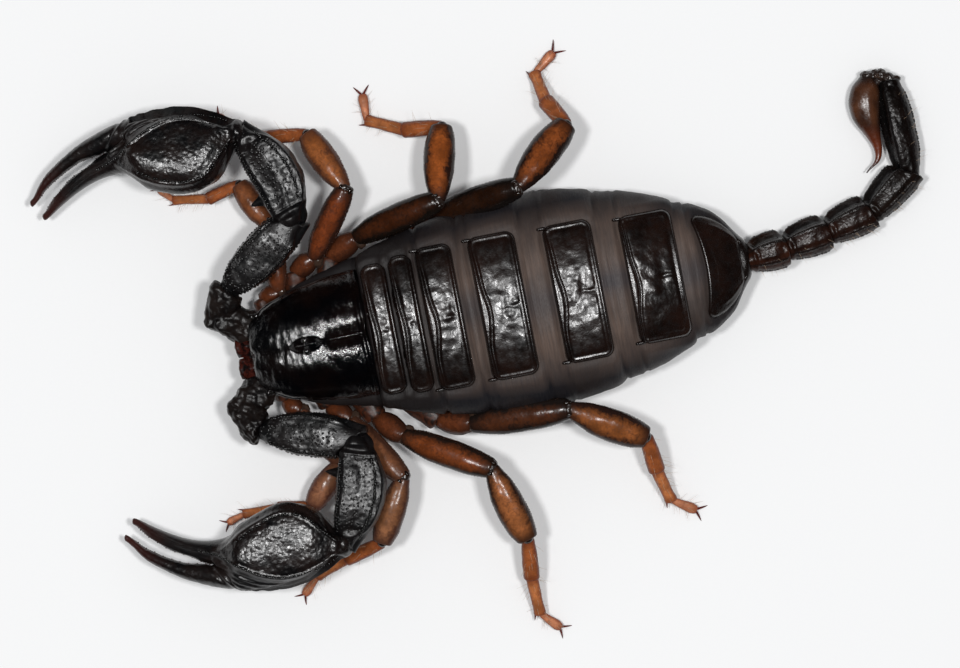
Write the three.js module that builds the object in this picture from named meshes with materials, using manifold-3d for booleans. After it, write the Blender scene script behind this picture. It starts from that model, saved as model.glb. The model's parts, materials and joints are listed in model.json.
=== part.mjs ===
// Adult female of a small European wood scorpion, well fed, resting on the floor
// with its pincers forward and its tail laid on its side.
// Millimetres, +Z up, head toward -Y, the animal's own left toward +X.
import * as THREE from 'three';
import { mergeVertices } from 'three/addons/utils/BufferGeometryUtils.js';
import Module from 'manifold-3d';

const wasm = await Module();
wasm.setup();

// Clearances and mesh fineness
const jointGap = 0.06;
const weldDistance = 1e-4;
const limbSides = 7;
const footSides = 6;
const clawSides = 3;
const palpSides = 9;
const palpRows = 6;
const handRows = 8;
const tailSides = 8;
const trunkSides = 16;
const trunkRows = 10;
const shieldSides = 14;
const shieldRows = 6;

// Head shield
const carapaceLength = 5.95;
const carapaceHeading = 86;
const carapaceFront = [-0.22, -5.95, 3.0];
const carapaceHalfWidths = [1.75, 2.2, 2.42, 2.55, 2.75, 2.92];
const carapaceCrown = [0.8, 1.4, 1.7, 1.85, 1.85, 1.75];
const carapaceRim = 0.36;
const carapaceSquareness = 2.5;
const frontNotch = { radius: 0.36, bite: 0.16, height: 6 };
const eyeMound = { halfSizes: [0.52, 0.8, 0.3], sink: 0.12 };
const medianEyes = { middle: [-0.07, -3.18, 4.9], spacing: 0.27, radius: 0.2 };
const lateralEyes = { outward: 1.93, forward: 0.42, level: 0.28, spacing: 0.2, radius: 0.14 };

// Chelicerae: the small jaws under the front of the head shield
const cheliceraLength = 1.45;
const cheliceraRoot = { outward: 0.62, middle: -0.2, y: -4.95, z: 2.7 };
const cheliceraToeOut = 2;
const cheliceraPitch = -6;
const cheliceraShape = {
  half: [0.5, 0.56, 0.55, 0.35],
  up: [0.42, 0.46, 0.42, 0.28],
  down: [0.5, 0.55, 0.5, 0.3],
};
const cheliceraFinger = {
  outward: 0.2,
  drop: 0.05,
  overlap: 0.3,
  length: 0.62,
  root: 0.22,
  tip: 0.05,
  droop: 0.12,
};

// Breastplate: the flat block under the head that the coxae of the legs are set in
const breastplate = {
  start: [-0.1, -5.0, 1.65],
  length: 5.6,
  half: [1.5, 2.0, 2.2, 1.6],
  up: 0.93,
  down: [0.7, 0.9, 0.9, 0.7],
  squareness: 3,
};

// Trunk behind the head: half widths, top and belly levels at even steps from waist to tail
const trunkLength = 19.12;
const trunkMiddle = -0.16;
const trunkHalfWidths = [3.4, 4.25, 4.95, 5.3, 5.42, 5.2, 4.75, 4.15, 3.0, 1.2];
const trunkTops = [4.65, 4.9, 5.1, 5.2, 5.2, 5.1, 4.9, 4.45, 3.7, 2.75];
const trunkBellies = [1.35, 1.42, 1.3, 0.2, -0.25, -0.3, -0.25, -0.05, 0.45, 1.0];
const trunkWidestLevels = [3.3, 2.8, 2.45, 2.3, 2.3, 2.3, 2.25, 2.15, 2.0, 1.85];
const trunkSquareness = 2.3;

// Back plates, front to rear: y from, y to, half width
const backPlates = [
  [0.25, 1.3, 3.1],
  [1.55, 2.6, 3.35],
  [2.9, 4.7, 3.5],
  [5.55, 7.9, 3.55],
  [9.3, 11.7, 3.42],
  [13.05, 15.75, 3.2],
  [16.45, 18.6, 2.55],
];
const plateProud = 0.1;
const plateSunk = 0.4;
const plateCorner = 0.5;
const plateCornerCut = 0.3;
const lastPlateTaper = 0.55;
const plateBlockBottom = 2.4;
const plateBlockHeight = 6;

// Legs, front to rear: lengths of trochanter, femur, patella, tibia, basitarsus and tarsus, and girth
const legPairs = [
  { lengths: [1.0, 3.2, 2.7, 1.8, 1.85, 0.95], girth: 0.84, claw: 0.5 },
  { lengths: [1.35, 3.95, 3.45, 2.2, 1.9, 1.2], girth: 0.95, claw: 0.55 },
  { lengths: [1.85, 4.75, 4.0, 2.3, 2.1, 1.3], girth: 1.05, claw: 0.62 },
  { lengths: [1.95, 5.0, 4.2, 2.1, 1.95, 1.4], girth: 1.1, claw: 0.66 },
];
const footLevel = 0.22;
// Where each leg leaves its coxa, and its segments' headings and pitches in degrees;
// the last pitch is worked out so that the foot reaches the floor.
const legPoses = {
  right: [
    {
      hip: [-2.8, -5.0, 1.5],
      headings: [102, 176, -155, -76, -99, -137],
      pitches: [17, 2, -6, -17, -19],
    },
    {
      hip: [-3.8, -3.15, 1.6],
      headings: [114, 144, -156, -97, -113, -141],
      pitches: [26, 17, -15, -27, -28],
    },
    {
      hip: [-4.2, -1.3, 1.6],
      headings: [114, 103, 166, -97, -116, 179],
      pitches: [26, 20, -22, -35, -22],
    },
    {
      hip: [-4.4, 2.5, 1.3],
      headings: [113, 99, 131, -151, -170, 128],
      pitches: [31, 24, -19, -41, -39],
    },
  ],
  left: [
    {
      hip: [2.4, -4.8, 1.5],
      headings: [43, 29, -44, -98, -91, -71],
      pitches: [17, 2, -6, -17, -19],
    },
    {
      hip: [3.1, -2.7, 1.6],
      headings: [46, 32, -29, -76, -70, -46],
      pitches: [18, 13, -8, -27, -27],
    },
    {
      hip: [4.1, -0.5, 1.6],
      headings: [46, 59, 16, -5, 2, 44],
      pitches: [26, 13, -10, -31, -28],
    },
    {
      hip: [4.8, 2.5, 1.3],
      headings: [73, 88, 59, 7, 15, 57],
      pitches: [31, 14, -10, -34, -31],
    },
  ],
};
const coxaRoots = [[0.5, -4.3, 1.6], [0.5, -3.2, 1.6], [0.6, -1.9, 1.6], [0.8, -0.9, 1.5]];
// Half widths along each kind of leg segment, before the leg's girth
const legShapes = {
  coxa: [0.5, 0.66, 0.6],
  trochanter: [0.46, 0.58, 0.42],
  femur: [0.42, 0.63, 0.64, 0.46],
  patella: [0.42, 0.72, 0.68, 0.42],
  tibia: [0.36, 0.43, 0.34],
  basitarsus: [0.31, 0.34, 0.28],
  tarsus: [0.26, 0.28, 0.2],
  claw: [0.16, 0.12, 0.04],
};
const legDepthRatio = 0.82;
const legOverrun = 0.3;
const claws = { spread: 32, dip: 6, overlap: 0.1 };

// Pedipalps: the long grasping limbs
const palpLengths = { coxa: 2.35, trochanter: 1.5, femur: 4.7, patella: 5.05, hand: 11.1 };
const palpPoses = {
  right: {
    coxa: [-1.15, -5.2, 2.35],
    headings: [-120, 150, 126.5, -161.5, -80],
    pitches: [8, 16, 11, 0, -13.5],
  },
  left: {
    coxa: [1.1, -5.1, 2.35],
    headings: [-54, 36, 72, -15.5, -104.5],
    pitches: [8, 18, 11, 0, -13.5],
  },
};
const palpOverrun = 0.5;
const palpSquareness = 3;
const palpBaseShape = { edge: [0.5, 0.75, 0.85, 0.7], depth: [0.6, 0.7, 0.75, 0.7], shortening: 0.4 };
// On the femur one edge faces the body; on the patella one edge is the elbow side
const femurShape = {
  bodyEdge: [0.5, 0.85, 1.12, 1.2, 1.05, 0.9],
  farEdge: [0.5, 0.8, 0.95, 0.95, 0.9, 0.8],
  depth: [0.55, 0.8, 0.88, 0.9, 0.85, 0.75],
};
const patellaShape = {
  elbowEdge: [0.7, 1.25, 1.56, 1.55, 1.3, 0.8, 0.4],
  frontEdge: [0.6, 0.7, 0.7, 0.7, 0.7, 0.6, 0.4],
  depth: [0.7, 0.95, 1.05, 1.05, 1.0, 0.8, 0.5],
};
// The spur on the front edge of the patella, a third of the way along
const spurShape = { radius: 0.42, height: 0.95, outward: 0.85, up: 0.25, forward: 1.55 };
const handLevels = { palm: 6.6, fingerRoot: 5.0, wristOverrun: 0.25 };
const handSquareness = 2.3;
// Edges of the hand along its length, measured outward from the line of wrist and finger tips
const palmOuter = [0.42, 1.35, 2.05, 2.38, 2.52, 2.53, 2.45];
const palmInner = [-0.42, -1.05, -1.85, -1.98, -1.5, -0.5, 0.15];
const palmDepth = [0.55, 1.0, 1.35, 1.45, 1.4, 1.25, 1.0];
const fixedTeeth = [1.3, 1.45, 1.38, 1.08, 0.85, 0.32, -0.36];
const fixedBack = [-0.7, 0.0, 0.3, 0.3, 0.1, -0.2, -0.48];
const fixedDepth = [1.05, 0.85, 0.7, 0.58, 0.48, 0.36, 0.12];
const movableBack = [2.5, 2.52, 2.4, 2.15, 1.76, 1.28, 0.5];
const movableTeeth = [1.1, 1.42, 1.47, 1.48, 1.2, 0.8, 0.36];
const movableDepth = [0.95, 0.85, 0.7, 0.58, 0.46, 0.33, 0.12];
const knuckle = { outward: 1.48, forward: 6.26, slant: 41 };
const fixedFingerShortfall = 0.1;

// Tail: five rings and the sting, laid over on its right side
const tailStart = [-0.16, 19.2, 1.9];
const tailRoll = -62;
const tailOverrun = 0.25;
const tailSquareness = 2.8;
const tailRings = [
  { length: 1.92, heading: 94.8, pitch: -10, back: 0.83, belly: 0.8, half: 0.95 },
  { length: 2.28, heading: 98.6, pitch: -7.5, back: 0.88, belly: 0.76, half: 0.9 },
  { length: 2.38, heading: 102.9, pitch: -5, back: 0.94, belly: 0.7, half: 0.88 },
  { length: 2.78, heading: 126.2, pitch: -2, back: 0.88, belly: 0.7, half: 0.86 },
  { length: 4.45, heading: -179, pitch: -1, back: 0.76, belly: 0.84, half: 0.84 },
];
// How each ring swells along its length, as shares of the sizes above; the last ring narrows to the sting
const ringSwell = {
  back: [0.62, 0.88, 1, 1, 0.9],
  belly: [0.68, 0.86, 0.98, 1.04, 1],
  half: [0.72, 0.9, 1, 1, 0.92],
};
const lastRingSwell = {
  back: [0.62, 0.92, 1, 0.9, 0.72],
  belly: [0.7, 0.95, 1, 0.86, 0.5],
  half: [0.72, 0.96, 1, 0.94, 0.75],
};
const stingStart = [-7.95, 26.9, 0.8];
const stingLength = 4.85;
const stingHeading = -12.7;
const stingMiddle = [-0.12, -0.2, -0.24, -0.2, -0.03, 0.27, 0.52, 0.5, 0.0];
const stingHalf = [0.35, 0.68, 0.77, 0.75, 0.62, 0.38, 0.21, 0.13, 0.04];

// Comb organs under the front of the belly
const combTeeth = 8;
const combToothPitch = 0.3;
const combToothLength = 0.62;
const combBarDepth = 0.5;
const combThickness = 0.5;
const combRoot = { outward: 0.45, middle: -0.1, y: 1.1, z: 0.78, sweep: 25 };

const finish = {
  shield: { color: 0x1b1310, roughness: 0.22, metalness: 0 },
  plate: { color: 0x20160f, roughness: 0.28, metalness: 0 },
  flesh: { color: 0x4b403d, roughness: 0.62, metalness: 0 },
  amber: { color: 0x93481c, roughness: 0.34, metalness: 0 },
  brown: { color: 0x5b2a13, roughness: 0.38, metalness: 0 },
  black: { color: 0x14100f, roughness: 0.42, metalness: 0 },
  tail: { color: 0x2a1710, roughness: 0.4, metalness: 0 },
  sting: { color: 0x6a2c11, roughness: 0.2, metalness: 0 },
  eye: { color: 0x040404, roughness: 0.06, metalness: 0 },
};

const radians = THREE.MathUtils.degToRad;
const scorpion = new THREE.Group();

// Smooth value at t, from 0 to 1, through evenly spaced values
function along(values, t) {
  const curve = new THREE.SplineCurve(values.map((value, i) => new THREE.Vector2(i, value)));
  return curve.getPoint(t).y;
}

// Placement whose +Z runs along the heading and pitch, +X to the left of travel and +Y upward
function placement(start, heading, pitch, roll = 0) {
  const level = Math.cos(radians(pitch));
  const forward = new THREE.Vector3(
    level * Math.cos(radians(heading)),
    level * Math.sin(radians(heading)),
    Math.sin(radians(pitch)),
  );
  const left = new THREE.Vector3(-Math.sin(radians(heading)), Math.cos(radians(heading)), 0);
  const up = new THREE.Vector3().crossVectors(forward, left);
  const place = new THREE.Matrix4().makeBasis(left, up, forward).setPosition(...start);
  return place.multiply(new THREE.Matrix4().makeRotationZ(radians(roll)));
}

const pointOn = (place, x, y, z) => new THREE.Vector3(x, y, z).applyMatrix4(place);
const directionOf = (place) => new THREE.Vector3().setFromMatrixColumn(place, 2);

function toSolid(geometry) {
  const bare = geometry.clone();
  bare.deleteAttribute('normal');
  bare.deleteAttribute('uv');
  const merged = mergeVertices(bare, weldDistance);
  return new wasm.Manifold(new wasm.Mesh({
    numProp: 3,
    vertProperties: merged.attributes.position.array,
    triVerts: new Uint32Array(merged.index.array),
  }));
}

function toGeometry(solid) {
  const mesh = solid.getMesh();
  const geometry = new THREE.BufferGeometry();
  geometry.setAttribute('position', new THREE.BufferAttribute(mesh.vertProperties, 3));
  geometry.setIndex(new THREE.BufferAttribute(mesh.triVerts, 1));
  geometry.computeVertexNormals();
  return geometry;
}

// The main body of a cut solid, without the slivers that a cut can leave
function mainBody(solid) {
  const bodies = solid.decompose();
  return bodies.reduce((most, body) => (body.volume() > most.volume() ? body : most));
}

// A closed tube along +Z. section(t) gives each ring's half sizes to the left, right, up and down,
// its middle and its squareness, where 2 is an ellipse and more is boxier.
function tube(place, length, sides, rows, section, grow = 0) {
  const geometry = new THREE.CylinderGeometry(1, 1, 1, sides, rows).rotateX(Math.PI / 2);
  const points = geometry.attributes.position;
  for (let i = 0; i < points.count; i += 1) {
    const t = points.getZ(i) + 0.5;
    const ring = { x: 0, y: 0, squareness: 2, ...section(t) };
    const reach = Math.hypot(points.getX(i), points.getY(i));
    const angle = Math.atan2(points.getY(i), points.getX(i));
    const across = Math.sign(Math.cos(angle)) * Math.abs(Math.cos(angle)) ** (2 / ring.squareness);
    const tall = Math.sign(Math.sin(angle)) * Math.abs(Math.sin(angle)) ** (2 / ring.squareness);
    const halfX = (across > 0 ? ring.left : ring.right) + grow;
    const halfY = (tall > 0 ? ring.up : ring.down) + grow;
    const lengthen = Math.max(grow, 0);
    const z = t * (length + 2 * lengthen) - lengthen;
    points.setXYZ(i, ring.x + reach * across * halfX, ring.y + reach * tall * halfY, z);
  }
  return toSolid(geometry.applyMatrix4(place));
}

// Takes away all that lies beyond a plane, on its normal's side
function cutBeyond(solid, point, normal) {
  const blockSize = 80;
  const outward = normal.clone().normalize();
  const turn = new THREE.Quaternion().setFromUnitVectors(new THREE.Vector3(0, 0, 1), outward);
  const block = new THREE.BoxGeometry(blockSize, blockSize, blockSize);
  block.translate(0, 0, blockSize / 2).applyQuaternion(turn).translate(point.x, point.y, point.z);
  return mainBody(solid.subtract(toSolid(block)));
}

const downward = new THREE.Vector3(0, 0, -1);
const onFloor = (solid) => cutBeyond(solid, new THREE.Vector3(0, 0, 0), downward);

// Hands over the piece in its own frame, and stands that frame where the piece belongs
function addPiece(group, name, solid, place, look) {
  const geometry = toGeometry(solid).applyMatrix4(place.clone().invert());
  const mesh = new THREE.Mesh(geometry, new THREE.MeshStandardMaterial(look));
  mesh.name = name;
  mesh.applyMatrix4(place);
  group.add(mesh);
}

// Placements of a chain of segments, each starting at the end of the one before
function chain(start, lengths, headings, pitches, roll = 0) {
  let joint = start;
  return lengths.map((length, i) => {
    const place = placement(joint, headings[i], pitches[i], roll);
    joint = pointOn(place, 0, 0, length).toArray();
    return { place, length };
  });
}

// Trims a segment at the planes that halve the bends to its neighbours
function mitre(solid, link, before, after, clearance) {
  let trimmed = solid;
  const forward = directionOf(link.place);
  if (before) {
    const normal = directionOf(before.place).add(forward).normalize().negate();
    const edge = pointOn(link.place, 0, 0, 0).addScaledVector(normal, -clearance);
    trimmed = cutBeyond(trimmed, edge, normal);
  }
  if (after) {
    const normal = directionOf(after.place).add(forward).normalize();
    const edge = pointOn(link.place, 0, 0, link.length).addScaledVector(normal, -clearance);
    trimmed = cutBeyond(trimmed, edge, normal);
  }
  return trimmed;
}

// A tube over one or more jointed segments, with a ring at each joint and rings between.
// Its ends run a little past their joints, to be trimmed there.
function jointedTube(links, shapes, girth, options) {
  const { headOverrun = 0, footOverrun = 0, grow = 0, sides = limbSides } = options;
  const stations = [];
  links.forEach((link, i) => {
    const values = shapes[i];
    const forward = directionOf(link.place);
    if (i === 0) {
      stations.push({ center: pointOn(link.place, 0, 0, -headOverrun - grow), forward, half: values[0] });
    }
    for (let k = 1; k < values.length - 1; k += 1) {
      const center = pointOn(link.place, 0, 0, (link.length * k) / (values.length - 1));
      stations.push({ center, forward, half: values[k] });
    }
    const next = links[i + 1];
    const half = values[values.length - 1];
    if (next) {
      const bend = forward.clone().add(directionOf(next.place)).normalize();
      stations.push({ center: pointOn(link.place, 0, 0, link.length), forward: bend, half });
    } else {
      const end = pointOn(link.place, 0, 0, link.length + footOverrun + grow);
      stations.push({ center: end, forward, half });
    }
  });
  const geometry = new THREE.CylinderGeometry(1, 1, 1, sides, stations.length - 1).rotateX(Math.PI / 2);
  const points = geometry.attributes.position;
  for (let i = 0; i < points.count; i += 1) {
    const station = stations[Math.round((points.getZ(i) + 0.5) * (stations.length - 1))];
    const left = new THREE.Vector3(0, 0, 1).cross(station.forward).normalize();
    const up = new THREE.Vector3().crossVectors(station.forward, left);
    const half = station.half * girth;
    const point = station.center.clone();
    point.addScaledVector(left, points.getX(i) * (half + grow));
    point.addScaledVector(up, points.getY(i) * (half * legDepthRatio + grow));
    points.setXYZ(i, point.x, point.y, point.z);
  }
  return toSolid(geometry);
}

// Legs

function legChain(pair, pose) {
  const upper = chain(pose.hip, pair.lengths.slice(0, 5), pose.headings, pose.pitches);
  const lastJoint = pointOn(upper[4].place, 0, 0, upper[4].length);
  const tarsusLength = pair.lengths[5];
  const drop = THREE.MathUtils.radToDeg(Math.asin((footLevel - lastJoint.z) / tarsusLength));
  const tarsus = chain(lastJoint.toArray(), [tarsusLength], [pose.headings[5]], [drop]);
  return [...upper, ...tarsus];
}

// The coxa's own link, from its root beside the breastplate to the hip
function coxaLink(index, side, pose) {
  const [x, y, z] = coxaRoots[index];
  const root = new THREE.Vector3(side * x, y, z);
  const reach = new THREE.Vector3(...pose.hip).sub(root);
  const length = reach.length();
  const heading = THREE.MathUtils.radToDeg(Math.atan2(reach.y, reach.x));
  const pitch = THREE.MathUtils.radToDeg(Math.asin(reach.z / length));
  return { place: placement(root.toArray(), heading, pitch), length };
}

// The two claws spread from the end of the foot: each is a segment of its own, turned to one side
function clawLink(pair, tarsus, side) {
  const place = tarsus.place.clone();
  place.multiply(new THREE.Matrix4().makeTranslation(0, 0, tarsus.length));
  place.multiply(new THREE.Matrix4().makeRotationY(radians(side * claws.spread)));
  place.multiply(new THREE.Matrix4().makeRotationX(radians(claws.dip)));
  return { place, length: pair.claw };
}

function thigh(pair, links, coxa, grow = 0) {
  const shapes = [legShapes.trochanter, legShapes.femur];
  const overrun = legOverrun * pair.girth;
  const ends = { headOverrun: overrun, footOverrun: overrun, grow };
  const solid = jointedTube(links.slice(0, 2), shapes, pair.girth, ends);
  const hip = mitre(solid, links[0], coxa, null, jointGap / 2 - grow);
  return mitre(hip, links[1], null, links[2], jointGap / 2 - grow);
}

function kneeSegment(pair, links) {
  const overrun = legOverrun * pair.girth;
  const ends = { headOverrun: overrun, footOverrun: overrun };
  const solid = jointedTube([links[2]], [legShapes.patella], pair.girth, ends);
  return mitre(solid, links[2], links[1], links[3], jointGap / 2);
}

function foot(pair, links) {
  const tarsus = links[5];
  const [firstClaw, secondClaw] = [-1, 1].map((side) => clawLink(pair, tarsus, side));
  const shapes = [legShapes.tibia, legShapes.basitarsus, legShapes.tarsus, legShapes.claw];
  const ends = { headOverrun: legOverrun * pair.girth, sides: footSides };
  const solid = jointedTube([...links.slice(3), firstClaw], shapes, pair.girth, ends);
  const clawEnds = { headOverrun: claws.overlap, sides: clawSides };
  const otherClaw = jointedTube([secondClaw], [legShapes.claw], pair.girth, clawEnds);
  return mitre(solid, links[3], links[2], null, jointGap / 2).add(otherClaw);
}

const legPlans = Object.entries(legPoses).flatMap(([sideName, poses]) => poses.map((pose, index) => {
  const side = sideName === 'left' ? 1 : -1;
  return {
    name: `leg_${sideName}_${index + 1}`,
    pair: legPairs[index],
    links: legChain(legPairs[index], pose),
    coxa: coxaLink(index, side, pose),
  };
}));

function addLegs() {
  legPlans.forEach(({ name, pair, links, coxa }) => {
    const leg = new THREE.Group();
    addPiece(leg, `${name}_thigh`, onFloor(thigh(pair, links, coxa)), links[1].place, finish.brown);
    addPiece(leg, `${name}_patella`, onFloor(kneeSegment(pair, links)), links[2].place, finish.amber);
    addPiece(leg, `${name}_foot`, onFloor(foot(pair, links)), links[3].place, finish.amber);
    scorpion.add(leg);
  });
}

// Head

const carapacePlace = placement(carapaceFront, carapaceHeading, 0);

function carapaceShell() {
  const section = (t) => {
    const half = along(carapaceHalfWidths, t);
    return {
      left: half,
      right: half,
      up: along(carapaceCrown, t),
      down: carapaceRim,
      squareness: carapaceSquareness,
    };
  };
  // A little overlong, so that the cut at the waist trims its whole rear edge
  return tube(carapacePlace, carapaceLength + 0.3, shieldSides, shieldRows, section);
}

function ball(center, size, sides = 8) {
  const geometry = new THREE.SphereGeometry(1, sides, sides - 2).scale(...size).translate(...center);
  return toSolid(geometry);
}

function medianEye(side, grow = 0) {
  const [x, y, z] = medianEyes.middle;
  const radius = medianEyes.radius + grow;
  return ball([x + side * medianEyes.spacing, y, z], [radius, radius, radius]);
}

// Two small eyes in a row on the front corner of the shield
function lateralEye(side, grow = 0) {
  const radius = lateralEyes.radius + grow;
  const pair = [0, 1].map((i) => {
    const forward = lateralEyes.forward + i * lateralEyes.spacing;
    const center = pointOn(carapacePlace, -side * lateralEyes.outward, lateralEyes.level, forward);
    return ball(center.toArray(), [radius, radius, radius], 5);
  });
  return pair[0].add(pair[1]);
}

function cheliceraPlace(side) {
  const { outward, middle, y, z } = cheliceraRoot;
  return placement([side * outward + middle, y, z], -90 - side * cheliceraToeOut, cheliceraPitch);
}

// A short stout jaw with its two nipping fingers
function chelicera(side, grow = 0) {
  const body = (t) => {
    const half = along(cheliceraShape.half, t);
    return { left: half, right: half, up: along(cheliceraShape.up, t), down: along(cheliceraShape.down, t) };
  };
  const { outward, drop, overlap, length, root, tip, droop } = cheliceraFinger;
  const finger = (t) => {
    const half = THREE.MathUtils.lerp(root, tip, t);
    return { left: half, right: half, up: half, down: half, y: -droop * t };
  };
  const place = cheliceraPlace(side);
  const hand = tube(place, cheliceraLength, 8, 3, body, grow);
  const fingers = [-outward, outward].map((x) => {
    const fingerRoot = new THREE.Matrix4().makeTranslation(x, -drop, cheliceraLength - overlap);
    return tube(place.clone().multiply(fingerRoot), length, 4, 2, finger, grow);
  });
  return hand.add(fingers[0]).add(fingers[1]);
}

function addHead() {
  const head = new THREE.Group();
  const [eyeX, eyeY, eyeZ] = medianEyes.middle;
  const mound = ball([eyeX, eyeY, eyeZ - eyeMound.sink], eyeMound.halfSizes);
  const { radius, bite, height } = frontNotch;
  const notch = new THREE.CylinderGeometry(radius, radius, height, 12).rotateX(Math.PI / 2);
  notch.translate(carapaceFront[0], carapaceFront[1] + bite - radius, carapaceFront[2]);
  let shield = carapaceShell().add(mound).subtract(toSolid(notch));
  [-1, 1].forEach((side) => {
    shield = shield.subtract(medianEye(side, jointGap));
    shield = shield.subtract(lateralEye(side, jointGap));
    shield = shield.subtract(chelicera(side, jointGap));
  });
  shield = cutBeyond(shield, new THREE.Vector3(0, -jointGap / 2, 0), new THREE.Vector3(0, 1, 0));
  addPiece(head, 'carapace', shield, carapacePlace, finish.shield);
  [['left', 1], ['right', -1]].forEach(([name, side]) => {
    const eyePlace = new THREE.Matrix4().makeTranslation(eyeX + side * medianEyes.spacing, eyeY, eyeZ);
    addPiece(head, `eye_median_${name}`, medianEye(side), eyePlace, finish.eye);
    addPiece(head, `eyes_lateral_${name}`, lateralEye(side), carapacePlace, finish.eye);
    addPiece(head, `chelicera_${name}`, chelicera(side), cheliceraPlace(side), finish.brown);
  });
  scorpion.add(head);
}

// Breastplate and coxae

function coxosternum(grow = 0) {
  const { start, length, half, up, down, squareness } = breastplate;
  const plate = (t) => ({
    left: along(half, t),
    right: along(half, t),
    up,
    down: along(down, t),
    squareness,
  });
  let whole = tube(placement(start, 90, 0), length, 10, 3, plate, grow);
  legPlans.forEach(({ pair, links, coxa }) => {
    const ends = { footOverrun: legOverrun, grow, sides: footSides };
    const solid = jointedTube([coxa], [legShapes.coxa], pair.girth, ends);
    whole = whole.add(mitre(solid, coxa, null, links[0], jointGap / 2 - grow));
  });
  return mainBody(whole);
}

// Trunk and back plates

const trunkPlace = placement([trunkMiddle, 0, 0], 90, 0);

function trunkBody(grow = 0) {
  const section = (t) => {
    const level = along(trunkWidestLevels, t);
    return {
      left: along(trunkHalfWidths, t),
      right: along(trunkHalfWidths, t),
      up: along(trunkTops, t) - level,
      down: level - along(trunkBellies, t),
      y: level,
      squareness: trunkSquareness,
    };
  };
  return tube(trunkPlace, trunkLength, trunkSides, trunkRows, section, grow);
}

// The upright block that a back plate is cut from, with rounded corners
function plateBlock([from, to, width], taper, grow = 0) {
  const front = width + grow;
  const rear = width * taper + grow;
  const corner = plateCorner;
  const cut = corner * plateCornerCut;
  const y0 = from - grow;
  const y1 = to + grow;
  const half = (y) => THREE.MathUtils.mapLinear(y, y0, y1, front, rear);
  const rightEdge = [
    [front - corner, y0],
    [half(y0 + cut) - cut, y0 + cut],
    [half(y0 + corner), y0 + corner],
    [half(y1 - corner), y1 - corner],
    [half(y1 - cut) - cut, y1 - cut],
    [rear - corner, y1],
  ];
  const leftEdge = rightEdge.map(([x, y]) => [-x, y]).reverse();
  const outline = new THREE.Shape([...rightEdge, ...leftEdge].map(([x, y]) => new THREE.Vector2(x, y)));
  const block = new THREE.ExtrudeGeometry(outline, { depth: plateBlockHeight, bevelEnabled: false });
  return toSolid(block.translate(trunkMiddle, 0, plateBlockBottom));
}

// A comb organ: a bar with a row of blunt teeth, lying flat under the belly
function comb() {
  const length = combTeeth * combToothPitch;
  const outline = new THREE.Shape();
  outline.moveTo(0, 0);
  outline.lineTo(length, 0);
  const toothWidth = combToothPitch * 0.72;
  const shoulder = combBarDepth + combToothLength * 0.8;
  for (let i = combTeeth; i > 0; i -= 1) {
    const x = i * combToothPitch;
    outline.lineTo(x, shoulder);
    outline.lineTo(x - toothWidth / 2, combBarDepth + combToothLength);
    outline.lineTo(x - toothWidth, shoulder);
    outline.lineTo(x - toothWidth, combBarDepth);
    outline.lineTo(x - combToothPitch, combBarDepth);
  }
  return new THREE.ExtrudeGeometry(outline, { depth: combThickness, bevelEnabled: false });
}

function addTrunk() {
  const middle = new THREE.Group();
  let base = coxosternum();
  base = base.subtract(chelicera(1, jointGap)).subtract(chelicera(-1, jointGap));
  let body = trunkBody();
  body = cutBeyond(body, new THREE.Vector3(0, jointGap / 2, 0), new THREE.Vector3(0, -1, 0));
  body = onFloor(body.subtract(coxosternum(jointGap)));
  legPlans.forEach(({ pair, links, coxa }) => {
    const clearOfLeg = thigh(pair, links, coxa, jointGap);
    body = mainBody(body.subtract(clearOfLeg));
    if (pair === legPairs[0]) {
      base = mainBody(base.subtract(clearOfLeg));
    }
  });
  backPlates.forEach((plan, i) => {
    const taper = i === backPlates.length - 1 ? lastPlateTaper : 1;
    const under = trunkBody(-plateSunk);
    const plate = trunkBody(plateProud).intersect(plateBlock(plan, taper)).subtract(under);
    const pocket = plateBlock(plan, taper, jointGap).subtract(trunkBody(-plateSunk - jointGap));
    body = mainBody(body.subtract(pocket));
    addPiece(middle, `tergite_${i + 1}`, mainBody(plate), trunkPlace, finish.plate);
  });
  addPiece(middle, 'trunk', body, trunkPlace, finish.flesh);
  addPiece(middle, 'coxosternum', base, placement(breastplate.start, 90, 0), finish.brown);
  [['left', 1], ['right', -1]].forEach(([name, side]) => {
    const { outward, middle: between, y, z, sweep } = combRoot;
    const place = new THREE.Matrix4().makeTranslation(side * outward + between, y, z);
    const turn = side > 0 ? sweep : 180 - sweep;
    place.multiply(new THREE.Matrix4().makeRotationZ(radians(turn)));
    const flat = comb();
    if (side < 0) {
      // The right comb is turned over so that its teeth also point to the rear
      flat.rotateX(Math.PI).translate(0, 0, combThickness);
    }
    addPiece(middle, `pectine_${name}`, toSolid(flat.applyMatrix4(place)), place, finish.amber);
  });
  scorpion.add(middle);
}

// Pedipalps

function palpSegment(link, edges, rows) {
  const place = link.place.clone().multiply(new THREE.Matrix4().makeTranslation(0, 0, -palpOverrun));
  const section = (t) => ({
    left: along(edges.left, t),
    right: along(edges.right, t),
    up: along(edges.depth, t),
    down: along(edges.depth, t),
    squareness: palpSquareness,
  });
  return tube(place, link.length + 2 * palpOverrun, palpSides, rows, section);
}

// A tube along the hand from one level to another, between two edges measured outward,
// for the left or the right hand
function handTube(place, side, [from, to], [outer, inner, depth], grow = 0) {
  const start = place.clone().multiply(new THREE.Matrix4().makeTranslation(0, 0, from));
  const section = (t) => {
    const half = (along(outer, t) - along(inner, t)) / 2;
    const x = (side * (along(outer, t) + along(inner, t))) / 2;
    const thick = along(depth, t);
    return { left: half, right: half, up: thick, down: thick, x, squareness: handSquareness };
  };
  return tube(start, to - from, palpSides, handRows, section, grow);
}

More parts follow.
